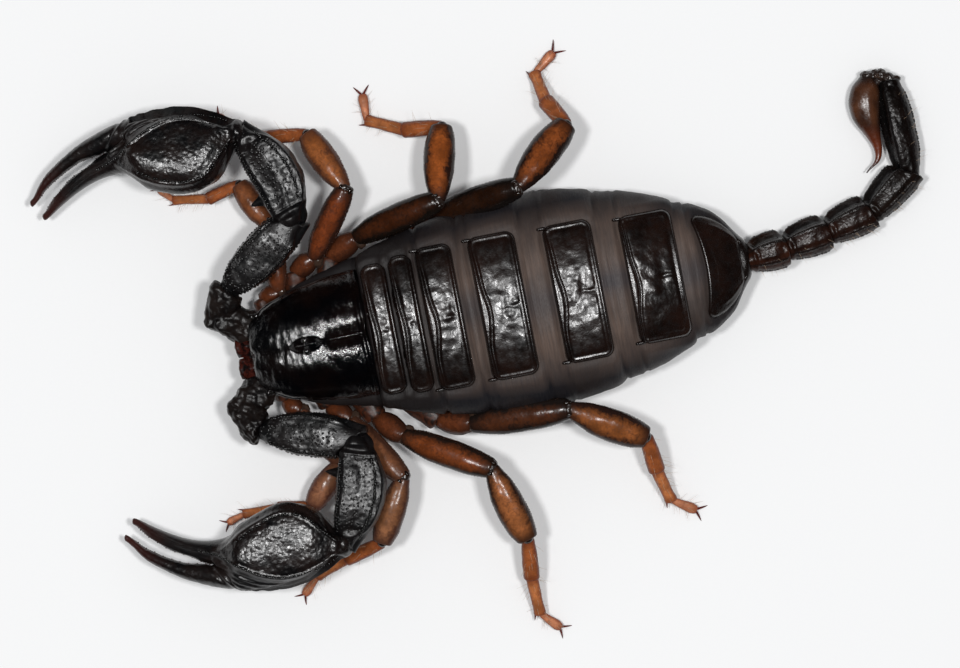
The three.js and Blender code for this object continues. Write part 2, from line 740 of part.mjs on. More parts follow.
// The coxa and trochanter, which work as one short upper arm
function palpBase([coxa, trochanter, femur], side) {
  const { edge, depth, shortening } = palpBaseShape;
  const edges = { left: edge, right: edge, depth };
  const lump = palpSegment({ place: coxa.place, length: coxa.length - shortening }, edges, 3);
  let base = lump.add(mitre(palpSegment(trochanter, edges, 3), trochanter, null, femur, jointGap / 2));
  const neighbours = [
    chelicera(side, jointGap),
    carapaceShell(),
    lateralEye(side, jointGap),
    coxosternum(jointGap),
  ];
  neighbours.forEach((near) => {
    base = base.subtract(near);
  });
  base = cutBeyond(base, pointOn(femur.place, 0, 0, -jointGap / 2), directionOf(femur.place));
  return mainBody(base);
}

function palpFemur([, , femur, patella], side) {
  const { bodyEdge, farEdge, depth } = femurShape;
  const edges = { left: side > 0 ? bodyEdge : farEdge, right: side > 0 ? farEdge : bodyEdge, depth };
  const upper = mitre(palpSegment(femur, edges, palpRows), femur, null, patella, jointGap / 2);
  return cutBeyond(upper, pointOn(femur.place, 0, 0, jointGap / 2), directionOf(femur.place).negate());
}

function palpPatella([, , femur, patella, hand], side) {
  const { elbowEdge, frontEdge, depth } = patellaShape;
  const edges = { left: side > 0 ? elbowEdge : frontEdge, right: side > 0 ? frontEdge : elbowEdge, depth };
  const { radius, height, outward, up, forward } = spurShape;
  const spur = new THREE.ConeGeometry(radius, height, 7).rotateZ((side * Math.PI) / 2);
  spur.translate(-side * outward, up, forward).applyMatrix4(patella.place);
  const lower = palpSegment(patella, edges, palpRows).add(toSolid(spur));
  return mitre(lower, patella, femur, hand, jointGap / 2);
}

// The plane that parts the hand from its movable finger
function knucklePlane(hand, side) {
  const slant = radians(knuckle.slant);
  const normal = new THREE.Vector3(side * Math.cos(slant), 0, Math.sin(slant));
  return {
    point: pointOn(hand.place, side * knuckle.outward, 0, knuckle.forward),
    normal: normal.transformDirection(hand.place),
  };
}

function movableFinger(hand, side, grow = 0) {
  const { point, normal } = knucklePlane(hand, side);
  const reach = [handLevels.fingerRoot, palpLengths.hand];
  const whole = handTube(hand.place, side, reach, [movableBack, movableTeeth, movableDepth], grow);
  const edge = point.addScaledVector(normal, jointGap / 2 - grow);
  return cutBeyond(whole, edge, normal.clone().negate());
}

// The palm and the fixed finger that grows from it
function palm([, , , patella, hand], side) {
  const { point, normal } = knucklePlane(hand, side);
  const palmReach = [-handLevels.wristOverrun, handLevels.palm];
  const fingerReach = [handLevels.fingerRoot, palpLengths.hand - fixedFingerShortfall];
  const bulge = handTube(hand.place, side, palmReach, [palmOuter, palmInner, palmDepth]);
  const cut = cutBeyond(bulge, point.addScaledVector(normal, -jointGap / 2), normal);
  const finger = handTube(hand.place, side, fingerReach, [fixedTeeth, fixedBack, fixedDepth]);
  const whole = cut.add(finger).subtract(movableFinger(hand, side, jointGap));
  return mainBody(mitre(whole, hand, patella, null, jointGap / 2));
}

function addPalp(sideName, side) {
  const pose = palpPoses[sideName];
  const arm = new THREE.Group();
  const links = chain(pose.coxa, Object.values(palpLengths), pose.headings, pose.pitches);
  const [coxa, , femur, patella, hand] = links;
  addPiece(arm, `palp_${sideName}_base`, palpBase(links, side), coxa.place, finish.black);
  addPiece(arm, `palp_${sideName}_femur`, palpFemur(links, side), femur.place, finish.black);
  addPiece(arm, `palp_${sideName}_patella`, palpPatella(links, side), patella.place, finish.black);
  addPiece(arm, `palp_${sideName}_hand`, palm(links, side), hand.place, finish.black);
  addPiece(arm, `palp_${sideName}_finger`, movableFinger(hand, side), hand.place, finish.black);
  scorpion.add(arm);
}

// Tail and sting

const stingPlace = placement(stingStart, stingHeading, 0);

function addTail() {
  const tail = new THREE.Group();
  const lengths = tailRings.map((ring) => ring.length);
  const headings = tailRings.map((ring) => ring.heading);
  const pitches = tailRings.map((ring) => ring.pitch);
  const links = chain(tailStart, lengths, headings, pitches, tailRoll);
  const sting = stingBody(jointGap);
  tailRings.forEach((ring, i) => {
    const place = links[i].place.clone().multiply(new THREE.Matrix4().makeTranslation(0, 0, -tailOverrun));
    const swell = i === tailRings.length - 1 ? lastRingSwell : ringSwell;
    const section = (t) => ({
      left: ring.half * along(swell.half, t),
      right: ring.half * along(swell.half, t),
      up: ring.back * along(swell.back, t),
      down: ring.belly * along(swell.belly, t),
      squareness: tailSquareness,
    });
    const whole = tube(place, links[i].length + 2 * tailOverrun, tailSides, 5, section);
    let solid = mitre(whole, links[i], links[i - 1], links[i + 1], jointGap / 2);
    solid = mainBody(onFloor(solid).subtract(sting));
    if (i === 0) {
      const waist = new THREE.Vector3(0, trunkLength + jointGap, 0);
      solid = cutBeyond(solid, waist, new THREE.Vector3(0, -1, 0));
    }
    addPiece(tail, `tail_${i + 1}`, solid, links[i].place, finish.tail);
  });
  addPiece(tail, 'telson', onFloor(stingBody()), stingPlace, finish.sting);
  scorpion.add(tail);
}

function stingBody(grow = 0) {
  const section = (t) => {
    const half = along(stingHalf, t);
    return { left: half, right: half, up: half, down: half, x: along(stingMiddle, t) };
  };
  return tube(stingPlace, stingLength, tailSides, 12, section, grow);
}

addHead();
addTrunk();
addLegs();
addPalp('right', -1);
addPalp('left', 1);
addTail();

// The origin is on the floor, under the middle of the whole animal
const extent = new THREE.Box3().setFromObject(scorpion, true);
const center = extent.getCenter(new THREE.Vector3());
scorpion.position.set(-center.x, -center.y, -extent.min.z);
scorpion.updateMatrixWorld(true);

export default scorpion;
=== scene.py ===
import json
import math
import random

import bpy
from mathutils import Matrix, Vector, noise

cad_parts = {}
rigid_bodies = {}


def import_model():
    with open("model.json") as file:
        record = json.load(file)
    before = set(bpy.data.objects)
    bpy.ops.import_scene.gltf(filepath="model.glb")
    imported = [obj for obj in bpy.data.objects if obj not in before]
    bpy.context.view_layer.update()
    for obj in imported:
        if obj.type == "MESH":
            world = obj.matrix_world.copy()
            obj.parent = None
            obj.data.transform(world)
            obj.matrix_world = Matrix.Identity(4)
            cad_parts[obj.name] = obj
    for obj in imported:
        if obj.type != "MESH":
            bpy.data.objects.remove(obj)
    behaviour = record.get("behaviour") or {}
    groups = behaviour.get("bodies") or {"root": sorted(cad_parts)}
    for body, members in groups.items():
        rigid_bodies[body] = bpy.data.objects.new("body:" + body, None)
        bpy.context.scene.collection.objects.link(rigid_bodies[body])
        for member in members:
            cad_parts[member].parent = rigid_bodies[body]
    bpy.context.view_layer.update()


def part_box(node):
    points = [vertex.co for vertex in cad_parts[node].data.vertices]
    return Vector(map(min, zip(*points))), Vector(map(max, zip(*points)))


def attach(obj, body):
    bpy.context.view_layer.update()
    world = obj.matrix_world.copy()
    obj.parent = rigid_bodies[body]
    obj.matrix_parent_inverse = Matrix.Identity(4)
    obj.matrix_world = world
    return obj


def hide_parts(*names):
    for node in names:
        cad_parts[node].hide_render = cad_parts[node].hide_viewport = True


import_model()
mm = 0.001
random.seed(4)  # the same grains and hairs on every run

# pieces are drawn in the animal's own millimetres, with +Y to the tail
# one of its eyes ties them to the frame
leftEye = (0.20, -3.18, 4.9)
eyeLow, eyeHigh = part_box("eye_median_left")
toFrame = Matrix.Translation((eyeLow + eyeHigh) / 2 - Vector(leftEye) * mm) @ Matrix.Scale(mm, 4)
bodyPlace = Matrix.Identity(4)  # the place of what is drawn straight in those millimetres


def placement(start, heading, pitch, roll=0):
    # +Z runs along the heading and pitch, +X to the left of travel, +Y upward
    h, p = math.radians(heading), math.radians(pitch)
    forward = Vector((math.cos(p) * math.cos(h), math.cos(p) * math.sin(h), math.sin(p)))
    left = Vector((-math.sin(h), math.cos(h), 0))
    turn = Matrix((left, forward.cross(left), forward)).transposed().to_4x4()
    return Matrix.Translation(start) @ turn @ Matrix.Rotation(math.radians(roll), 4, "Z")


def chain(start, lengths, headings, pitches, roll=0):
    # (place, length) of parts that follow each other
    places, joint = [], Vector(start)
    for length, heading, pitch in zip(lengths, headings, pitches):
        place = placement(joint, heading, pitch, roll)
        places.append((place, length))
        joint = place @ Vector((0, 0, length))
    return places


def along(values, t):
    # smooth value at t, from 0 to 1, through evenly spaced values
    p = min(max(t, 0), 1) * (len(values) - 1)
    i = min(int(p), len(values) - 2)
    w = p - i
    b, c = values[i], values[i + 1]
    slopeB = (c - values[max(i - 1, 0)]) / 2
    slopeC = (values[min(i + 2, len(values) - 1)] - b) / 2
    firstHalf = (2 * w**3 - 3 * w**2 + 1) * b + (w**3 - 2 * w**2 + w) * slopeB
    return firstHalf + (3 * w**2 - 2 * w**3) * c + (w**3 - w**2) * slopeC


def smooth(low, high, x):
    t = min(max((x - low) / (high - low), 0), 1)
    return t * t * (3 - 2 * t)


def hill(x, middle, width):
    return math.exp(-((x - middle) / width) ** 2)


def powered(value, squareness):
    return math.copysign(abs(value) ** (2 / squareness), value)


# modelling helpers

def clearSelection():
    if bpy.context.mode != "OBJECT":
        bpy.ops.object.mode_set(mode="OBJECT")
    bpy.ops.object.select_all(action="DESELECT")


def pick(piece):
    clearSelection()
    piece.select_set(True)
    bpy.context.view_layer.objects.active = piece


def editAll(piece):
    pick(piece)
    bpy.ops.object.mode_set(mode="EDIT")
    bpy.ops.mesh.select_all(action="SELECT")


def applyPlace(piece):
    pick(piece)
    bpy.ops.object.transform_apply(location=True, rotation=True, scale=True)


def applyModifier(piece, kind, **settings):
    pick(piece)
    modifier = piece.modifiers.new(kind.lower(), kind)
    for key, value in settings.items():
        setattr(modifier, key, value)
    bpy.ops.object.modifier_apply(modifier=modifier.name)


def subdivide(piece, levels):
    applyModifier(piece, "SUBSURF", levels=levels, render_levels=levels)


def ringTube(sides, rings, squareness=2.0, keels=()):
    # a closed tube extruded in unit steps, whose rings are then set to size
    # rings: (z, x, y, left, right, up, down); keels: (angle, half spread in degrees, mark)
    clearSelection()
    bpy.ops.mesh.primitive_circle_add(vertices=sides, radius=1, fill_type="NGON")
    tube = bpy.context.object
    editAll(tube)
    for _ in rings[1:]:
        bpy.ops.mesh.extrude_region_move(TRANSFORM_OT_translate={"value": (0, 0, 1)})
    bpy.ops.mesh.select_all(action="SELECT")
    bpy.ops.mesh.normals_make_consistent(inside=False)
    bpy.ops.object.mode_set(mode="OBJECT")
    length = rings[-1][0] - rings[0][0]
    run = tube.data.attributes.new("run", "FLOAT", "POINT")
    keel = tube.data.attributes.new("keel", "FLOAT", "POINT")
    for i, vertex in enumerate(tube.data.vertices):
        z, x, y, left, right, up, down = rings[round(vertex.co.z)]
        angle = math.atan2(vertex.co.y, vertex.co.x)
        for keelAngle, spread, mark in keels:
            away = abs((math.degrees(angle) - keelAngle + 180) % 360 - 180)
            keel.data[i].value = max(keel.data[i].value, (1 - away / spread) * mark)
        across, tall = powered(math.cos(angle), squareness), powered(math.sin(angle), squareness)
        vertex.co = (x + across * (left if across > 0 else right), y + tall * (up if tall > 0 else down), z)
        run.data[i].value = (z - rings[0][0]) / length
    return tube


def stations(length, rows, start=((-0.06, 0.45), (-0.03, 0.8)), end=((0.03, 0.8), (0.06, 0.45))):
    # places along a tube with rounded ends: (z, share of the length, share of the girth)
    low = [(z, 0, share) for z, share in start]
    middle = [(length * i / rows, i / rows, 1) for i in range(rows + 1)]
    high = [(length + z, 1, share) for z, share in end]
    return low + middle + high


def shifted(stops, by):
    return [(z + by, t, share) for z, t, share in stops]


def measureAt(measure, t):
    if callable(measure):
        return measure(t)
    return along(measure, t) if isinstance(measure, tuple) else measure


def shapedTube(sides, stops, measures, squareness=2.0, keels=()):
    # stops: as stations gives them; measures: x, y, left, right, up and down
    # each of these is a number, a tuple of values at even steps, or a function of the share of the length
    rings = []
    for z, t, share in stops:
        x, y, *halves = (measureAt(measure, t) for measure in measures)
        rings.append((z, x, y, *(half * share for half in halves)))
    return ringTube(sides, rings, squareness, keels)


def sculpt(piece, lift):
    # moves every point along its normal; lift(point, run) in millimetres
    mesh = piece.data
    runs = mesh.attributes.get("run")
    moves = []
    for i, vertex in enumerate(mesh.vertices):
        moves.append(vertex.normal * lift(vertex.co, runs.data[i].value if runs else 0))
    for vertex, move in zip(mesh.vertices, moves):
        vertex.co += move


def wobble(point, *layers):
    # layers: (height, how close its bumps stand)
    return sum(height * noise.noise(point * closeness) for height, closeness in layers)


def roughen(piece, *layers):
    sculpt(piece, lambda p, run: wobble(p, *layers))


def markPoints(piece, name, value):
    mark = piece.data.attributes.new(name, "FLOAT", "POINT")
    for vertex in piece.data.vertices:
        mark.data[vertex.index].value = value(vertex.co)


def paint(piece, finish):
    piece.data.materials.clear()
    piece.data.materials.append(finish)


def putInFrame(piece, place=bodyPlace):
    pick(piece)
    piece.matrix_world = toFrame @ place @ piece.matrix_world
    applyPlace(piece)
    bpy.context.view_layer.update()


def bringTogether(pieces, name):
    clearSelection()
    for piece in pieces:
        piece.select_set(True)
    whole = bpy.context.view_layer.objects.active = pieces[0]
    if len(pieces) > 1:
        bpy.ops.object.join()
    whole.name = whole.data.name = name
    return whole


def handOver(piece, slot, *replaced):
    # last step for each piece: smooth shading, its body, and hiding the CAD nodes that it stands for
    pick(piece)
    bpy.ops.object.shade_smooth()
    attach(piece, "root")
    if replaced:
        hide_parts(*replaced)


# finishes: a socket passed on is linked, anything else is set as a value

def isSocket(value):
    return isinstance(value, bpy.types.NodeSocket)


def connect(item, key, value):
    if isSocket(value):
        value.id_data.links.new(value, item.inputs[key])
    else:
        item.inputs[key].default_value = value


def addNode(tree, kind, inputs=None, **settings):
    item = tree.nodes.new("ShaderNode" + kind)
    for key, value in settings.items():
        setattr(item, key, value)
    for key, value in (inputs or {}).items():
        connect(item, key, value)
    return item


def startFinish(name, specular):
    # the material, and the place on the piece in millimetres
    material = bpy.data.materials.new(name)
    material.use_nodes = True
    tree = material.node_tree
    tree.nodes["Principled BSDF"].inputs["Specular IOR Level"].default_value = specular
    place = addNode(tree, "TexCoord")
    inMm = addNode(tree, "Mapping", {"Vector": place.outputs["Object"], "Scale": (1 / mm,) * 3})
    return material, inMm.outputs["Vector"]


def endFinish(material, colour, roughness, normal):
    shader = material.node_tree.nodes["Principled BSDF"]
    connect(shader, "Base Color", colour if isSocket(colour) else (*colour, 1))
    connect(shader, "Roughness", roughness)
    connect(shader, "Normal", normal)
    return material


def stretched(where, scale):
    return addNode(where.id_data, "Mapping", {"Vector": where, "Scale": scale}).outputs["Vector"]


def noiseOf(where, scale, detail, roughness, distortion=0.0):
    texture = addNode(where.id_data, "TexNoise", {
        "Vector": where, "Scale": scale, "Detail": detail, "Roughness": roughness, "Distortion": distortion})
    return texture.outputs["Fac"]


def cellsOf(where, scale):
    return addNode(where.id_data, "TexVoronoi", {"Vector": where, "Scale": scale}).outputs["Distance"]


def markOf(where, name):
    return addNode(where.id_data, "Attribute", attribute_name=name).outputs["Fac"]


def remap(value, low, high, newLow=0.0, newHigh=1.0):
    item = addNode(value.id_data, "MapRange", {
        "Value": value, "From Min": low, "From Max": high, "To Min": newLow, "To Max": newHigh})
    return item.outputs["Result"]


def arithmetic(operation, a, b):
    return addNode(a.id_data, "Math", {0: a, 1: b}, operation=operation).outputs["Value"]


def blendOf(factor, a, b):
    # sockets 6 and 7 of a mix are its two colours
    a, b = (colour if isSocket(colour) else (*colour, 1) for colour in (a, b))
    return addNode(factor.id_data, "Mix", {0: factor, 6: a, 7: b}, data_type="RGBA").outputs[2]


def bumpOf(height, strength, depthMm, under=None):
    inputs = {"Height": height, "Strength": strength, "Distance": depthMm * mm}
    if under:
        inputs["Normal"] = under
    return addNode(height.id_data, "Bump", inputs).outputs["Normal"]


def plainFinish(name, colour, roughness, specular=0.5):
    material, where = startFinish(name, specular)
    cloud = noiseOf(where, 3, 3, 0.5)
    mottled = blendOf(remap(cloud, 0.35, 0.65), tuple(c * 0.6 for c in colour), colour)
    return endFinish(material, mottled, roughness, bumpOf(cloud, 0.2, 0.03))


camera = {"height": 0.350, "lens": 262.5, "over": (0.991, 5.359), "turn": 79, "clip": (0.005, 5)}
light = {"height": 0.35, "left": 0.084, "right": 0.064, "size": 0.036, "power": 0.575}
surroundings = {"colour": (0.95, 0.97, 1, 1), "strength": 0.30}
floorSheet = {"size": 4, "level": -0.00002, "colour": (0.80, 0.80, 0.80), "roughness": 0.9}
print("camera, floor and light")


def addCamera():
    data = bpy.data.cameras.new("camera")
    data.lens = camera["lens"]
    data.clip_start, data.clip_end = camera["clip"]
    eye = bpy.data.objects.new("camera", data)
    bpy.context.scene.collection.objects.link(eye)
    over = toFrame @ Vector((*camera["over"], 0))
    eye.location = (over.x, over.y, camera["height"])
    eye.rotation_euler = (0, 0, math.radians(camera["turn"]))
    bpy.context.scene.camera = eye


def addLamp(name, reach):
    # a soft square lamp beside the camera, aimed at the middle of the frame
    data = bpy.data.lights.new(name, "AREA")
    data.size = light["size"]
    data.energy = light["power"]
    lamp = bpy.data.objects.new(name, data)
    bpy.context.scene.collection.objects.link(lamp)
    turn = math.radians(camera["turn"])
    lamp.location = (math.cos(turn) * reach, math.sin(turn) * reach, light["height"])
    lamp.rotation_euler = (-lamp.location).to_track_quat("-Z", "Y").to_euler()
    lamp.visible_camera = False


def addFloor():
    clearSelection()
    bpy.ops.mesh.primitive_plane_add(size=floorSheet["size"], location=(0, 0, floorSheet["level"]))
    floor = bpy.context.object
    floor.name = "paperFloor"
    paper, where = startFinish("paper", 0.2)
    fibres = bumpOf(noiseOf(where, 3.0, 4, 0.6), 0.25, 0.05)
    paint(floor, endFinish(paper, floorSheet["colour"], floorSheet["roughness"], fibres))


def lightSurroundings():
    world = bpy.data.worlds.new("studio")
    bpy.context.scene.world = world
    world.use_nodes = True
    background = world.node_tree.nodes["Background"]
    background.inputs["Color"].default_value = surroundings["colour"]
    background.inputs["Strength"].default_value = surroundings["strength"]
    # they light the paper, and only the lamps and the paper are mirrored in the shells
    world.cycles_visibility.glossy = False
    bpy.context.scene.view_settings.view_transform = "Standard"


addCamera()
addFloor()
addLamp("lampLeft", -light["left"])
addLamp("lampRight", light["right"])
lightSurroundings()


# small things set on finished pieces: beads, knobs and scraps of skin

def surfaceSpot(piece, place, angle, z, centre=(0, 0)):
    # where a line from the middle of a tube, at an angle round it, comes out of its surface
    inFrame = toFrame @ place
    a = math.radians(angle)
    outward = inFrame.to_3x3() @ Vector((math.cos(a), math.sin(a), 0))
    found, spot, normal, _ = piece.ray_cast(inFrame @ Vector((*centre, z)), outward.normalized())
    return (spot, normal) if found else None


def topSpot(piece, place, x, z):
    # the place on a piece's upper face over a point of its own plan
    inFrame = toFrame @ place
    down = (inFrame.to_3x3() @ Vector((0, -1, 0))).normalized()
    found, spot, normal, _ = piece.ray_cast(inFrame @ Vector((x, 6, z)), down)
    return (spot, normal) if found else None


def scatterGroup():
    # one copy of a modelled piece at each point, turned to its aim and sized, then made real
    group = bpy.data.node_groups.new("scatter", "GeometryNodeTree")
    group.interface.new_socket("Points", in_out="INPUT", socket_type="NodeSocketGeometry")
    group.interface.new_socket("Copies", in_out="OUTPUT", socket_type="NodeSocketGeometry")
    start = group.nodes.new("NodeGroupInput")
    end = group.nodes.new("NodeGroupOutput")
    source = group.nodes.new("GeometryNodeObjectInfo")
    source.name = "source"
    source.inputs["As Instance"].default_value = True
    aim, size = (group.nodes.new("GeometryNodeInputNamedAttribute") for _ in range(2))
    for item, name in ((aim, "aim"), (size, "size")):
        item.data_type = "FLOAT_VECTOR"
        item.inputs["Name"].default_value = name
    align = group.nodes.new("FunctionNodeAlignRotationToVector")
    align.axis = "Z"
    copies = group.nodes.new("GeometryNodeInstanceOnPoints")
    real = group.nodes.new("GeometryNodeRealizeInstances")
    for output, item, key in (
        (start.outputs["Points"], copies, "Points"),
        (source.outputs["Geometry"], copies, "Instance"),
        (aim.outputs["Attribute"], align, "Vector"),
        (align.outputs["Rotation"], copies, "Rotation"),
        (size.outputs["Attribute"], copies, "Scale"),
        (copies.outputs["Instances"], real, "Geometry"),
        (real.outputs["Geometry"], end, "Copies"),
    ):
        group.links.new(output, item.inputs[key])
    return group


def scatter(template, spots, finish, name="grains"):
    # spots: (place, aim, size, mark); the mark is kept on every point of the copy
    mesh = bpy.data.meshes.new(name)
    mesh.from_pydata([spot[0] for spot in spots], [], [])
    for column, key in enumerate(("aim", "size", "mark"), 1):
        values = mesh.attributes.new(key, "FLOAT_VECTOR", "POINT").data
        for i, spot in enumerate(spots):
            values[i].vector = spot[column]
    piece = bpy.data.objects.new(name, mesh)
    bpy.context.scene.collection.objects.link(piece)
    scatterNodes.nodes["source"].inputs["Object"].default_value = template
    bpy.context.view_layer.update()
    applyModifier(piece, "NODES", node_group=scatterNodes)
    paint(piece, finish)
    return piece


def beadOn(found, wide, sunk=0.0):
    # one bead for scatter, sunk a share of its radius into the spot that was found
    spot, normal = found
    return (spot - normal * wide * sunk * mm, normal, (wide, wide, wide), (0, 0, 0))


def beadsAlong(piece, place, length, angle, count, size, low=0.06, high=0.94, wander=3):
    # a row of low beads along one edge of a tube
    spots = []
    for i in range(count):
        share = low + (high - low) * (i + random.uniform(0.25, 0.75)) / count
        found = surfaceSpot(piece, place, angle + random.uniform(-wander, wander), share * length)
        if found:
            spots.append(beadOn(found, size * random.uniform(0.75, 1.2), 0.25))
    return spots


def beadsOver(piece, place, line, count, size, low, high, wander=0.03):
    # a row of beads along a line drawn on the upper face; line(z) gives x
    spots = []
    for i in range(count):
        z = low + (high - low) * (i + random.uniform(0.3, 0.7)) / count
        found = topSpot(piece, place, line(z) + random.uniform(-wander, wander), z)
        if found:
            spots.append(beadOn(found, size * random.uniform(0.75, 1.25), 0.2))
    return spots


def grainsOver(piece, place, inside, count, size, low, high, reach):
    # single grains strewn over the upper face wherever inside(x, z) is true
    spots = []
    for _ in range(count):
        x, z = random.uniform(-reach, reach), random.uniform(low, high)
        found = topSpot(piece, place, x, z) if inside(x, z) else None
        if found:
            spots.append(beadOn(found, size * random.uniform(0.6, 1.2), 0.15))
    return spots


def addSphere(at, radii, segments, rings):
    clearSelection()
    bpy.ops.mesh.primitive_uv_sphere_add(
        segments=segments, ring_count=rings, radius=1, location=at, scale=radii)
    return bpy.context.object


def addKnob(place, at, radii, finish):
    knob = addSphere(at, radii, 20, 12)
    paint(knob, finish)
    putInFrame(knob, place)
    return knob


def addMembrane(place, at, radii, finish):
    # a wrinkled scrap of joint skin
    clearSelection()
    bpy.ops.mesh.primitive_ico_sphere_add(subdivisions=4, radius=1, location=at, scale=radii)
    scrap = bpy.context.object
    applyPlace(scrap)
    roughen(scrap, (0.07, 3.1), (0.05, 8))
    paint(scrap, finish)
    putInFrame(scrap, place)
    return scrap


scatterNodes = scatterGroup()
clearSelection()
bpy.ops.mesh.primitive_ico_sphere_add(subdivisions=2, radius=mm, location=(0, 0, -1))
bead = bpy.context.object


trunk = {
    "length": 19.12,
    "middle": -0.16,
    "halfWidths": (
        3.85, 4.2, 4.5, 4.77, 5.0, 5.17, 5.3, 5.38, 5.42, 5.35,
        5.2, 5.0, 4.75, 4.45, 4.08, 3.62, 3.15, 2.4, 1.0,
    ),
    "tops": (4.65, 4.9, 5.1, 5.2, 5.2, 5.1, 4.9, 4.45, 3.7, 2.75),
    "bellies": (1.35, 1.42, 1.3, 0.2, -0.25, -0.3, -0.25, -0.05, 0.45, 1.0),
    "levels": (3.3, 2.8, 2.45, 2.3, 2.3, 2.3, 2.25, 2.15, 2.0, 1.85),
    "closing": ((-0.16, 0.4), (-0.12, 0.65), (-0.06, 0.85)),
    "squareness": 2.3,
    "sides": 48,
    "rows": 76,
    "crease": 0.15,  # depth of the creases across the flanks
    "flankDip": 0.10,
    "plateDip": 0.14,  # how far the skin dips round each plate
}
neck = {
    "middle": -0.06,
    "heading": 91.3,
    "start": -5.3,
    "end": 0.9,
    "level": 2.35,
    "halfWidths": (1.7, 2.45, 2.95, 3.28, 3.5, 3.75, 3.8),
    "up": 0.55,
    "down": 0.8,
}
# outlines of the back plates, front to rear: y from, y to, half width, taper to the rear, bow of the front
backPlates = (
    (0.08, 1.38, 3.28, 1, 0),
    (1.5, 2.72, 3.46, 1, 0),
    (2.9, 4.75, 3.62, 1, 0),
    (5.55, 7.95, 3.62, 1, 0),
    (9.3, 11.75, 3.48, 1, 0),
    (13.05, 15.75, 3.24, 1, 0),
    (16.55, 19.05, 2.65, 0.26, 0.4),
)
plateOutline = {"corner": 0.5, "taperPower": 2.2}
print("trunk")


# for the trunk and the plates, x is measured from the middle of the back

def backHeight(x, y):
    t = y / trunk["length"]
    level, power = along(trunk["levels"], t), trunk["squareness"]
    reach = min(abs(x) / along(trunk["halfWidths"], t), 0.999)
    return level + (along(trunk["tops"], t) - level) * (1 - reach**power) ** (1 / power)


def plateWidth(plan, run):
    # half width at a share of the plate's length
    return plan[2] * (1 + (plan[3] - 1) * run ** plateOutline["taperPower"])


def plateBow(x, plan):
    # how much further back the front edge stands
    return plan[4] * max(0, 1 - (x / plan[2]) ** 2)


def plateDistance(x, y, plan):
    # how far outside a back plate's outline a place is; negative inside
    end, corner = plan[1], plateOutline["corner"]
    start = plan[0] + plateBow(x, plan)
    run = min(max((y - start) / (end - start), 0), 1)
    dx = abs(x) - (plateWidth(plan, run) - corner)
    dy = abs(y - (start + end) / 2) - ((end - start) / 2 - corner)
    return math.hypot(max(dx, 0), max(dy, 0)) + min(max(dx, dy), 0) - corner


def skinRelief(point, run):
    x, y, z = point.x - trunk["middle"], point.z, point.y
    depth = 0
    # between each two plates a narrow ring of skin, marked off by a crease on either side
    side = smooth(1.4, 3.4, abs(x))
    for before, after in zip(backPlates[1:], backPlates[2:]):
        end, start = before[1], after[0]
        lean = 0.3 * (abs(x) / 5) ** 2
        for crease in (end + 0.12 + lean, start - 0.16 + lean):
            depth -= trunk["crease"] * side * hill(y, crease, 0.07)
        dip = smooth(end - 0.2, end + 0.5, y) - smooth(start - 0.5, start + 0.2, y)
        depth -= trunk["flankDip"] * side * dip
    # the skin dips a little round each plate, with a low swell outside the dip
    if z > 2.6:
        for plan in backPlates:
            away = plateDistance(x, y, plan)
            if away < 1:
                depth -= trunk["plateDip"] * (1 - smooth(-0.05, 0.3, away))
                depth += 0.05 * hill(away, 0.34, 0.14)
    depth += 0.035 * noise.noise(Vector((x * 0.9, y * 1.6, z)))
    depth += 0.012 * noise.noise(Vector((x * 1.2, y * 7.0, z * 1.5)))
    # the end round the tail root is plain
    return depth * (1 - smooth(trunk["length"] - 0.5, trunk["length"] - 0.15, y))


def addTrunk():
    levels, half = trunk["levels"], trunk["halfWidths"]
    closing = [(-z, share) for z, share in reversed(trunk["closing"])]
    stops = stations(trunk["length"], trunk["rows"], trunk["closing"], closing)
    measures = (
        trunk["middle"], levels, half, half,
        lambda t: along(trunk["tops"], t) - along(levels, t),
        lambda t: along(levels, t) - along(trunk["bellies"], t),
    )
    tube = shapedTube(trunk["sides"], stops, measures, trunk["squareness"])
    subdivide(tube, 1)
    sculpt(tube, skinRelief)
    # laid along the body, the tube's length is +Y and its height +Z, which turns it inside out
    for vertex in tube.data.vertices:
        x, y, z = vertex.co
        vertex.co = (x, z, max(y, 0))
    tube.data.flip_normals()
    # the band along the middle of the back that the finish makes bluish
    markPoints(tube, "middle", lambda p: hill(p.x - trunk["middle"] - 0.2 * math.sin(p.y * 0.9), 0, 0.85))
    putInFrame(tube)
    return tube


def addNeck():
    # the band of skin that shows beside the head shield
    half = neck["halfWidths"]
    measures = (0, 0, half, half, neck["up"], neck["down"])
    tube = shapedTube(40, stations(neck["end"] - neck["start"], 24), measures, 2.6)
    roughen(tube, (0.05, 1.3), (0.05, 3.1))
    # the finish takes it for the front end of the trunk
    for mark in tube.data.attributes["run"].data:
        mark.value = 0
    putInFrame(tube, placement((neck["middle"], neck["start"], neck["level"]), neck["heading"], 0))
    return tube


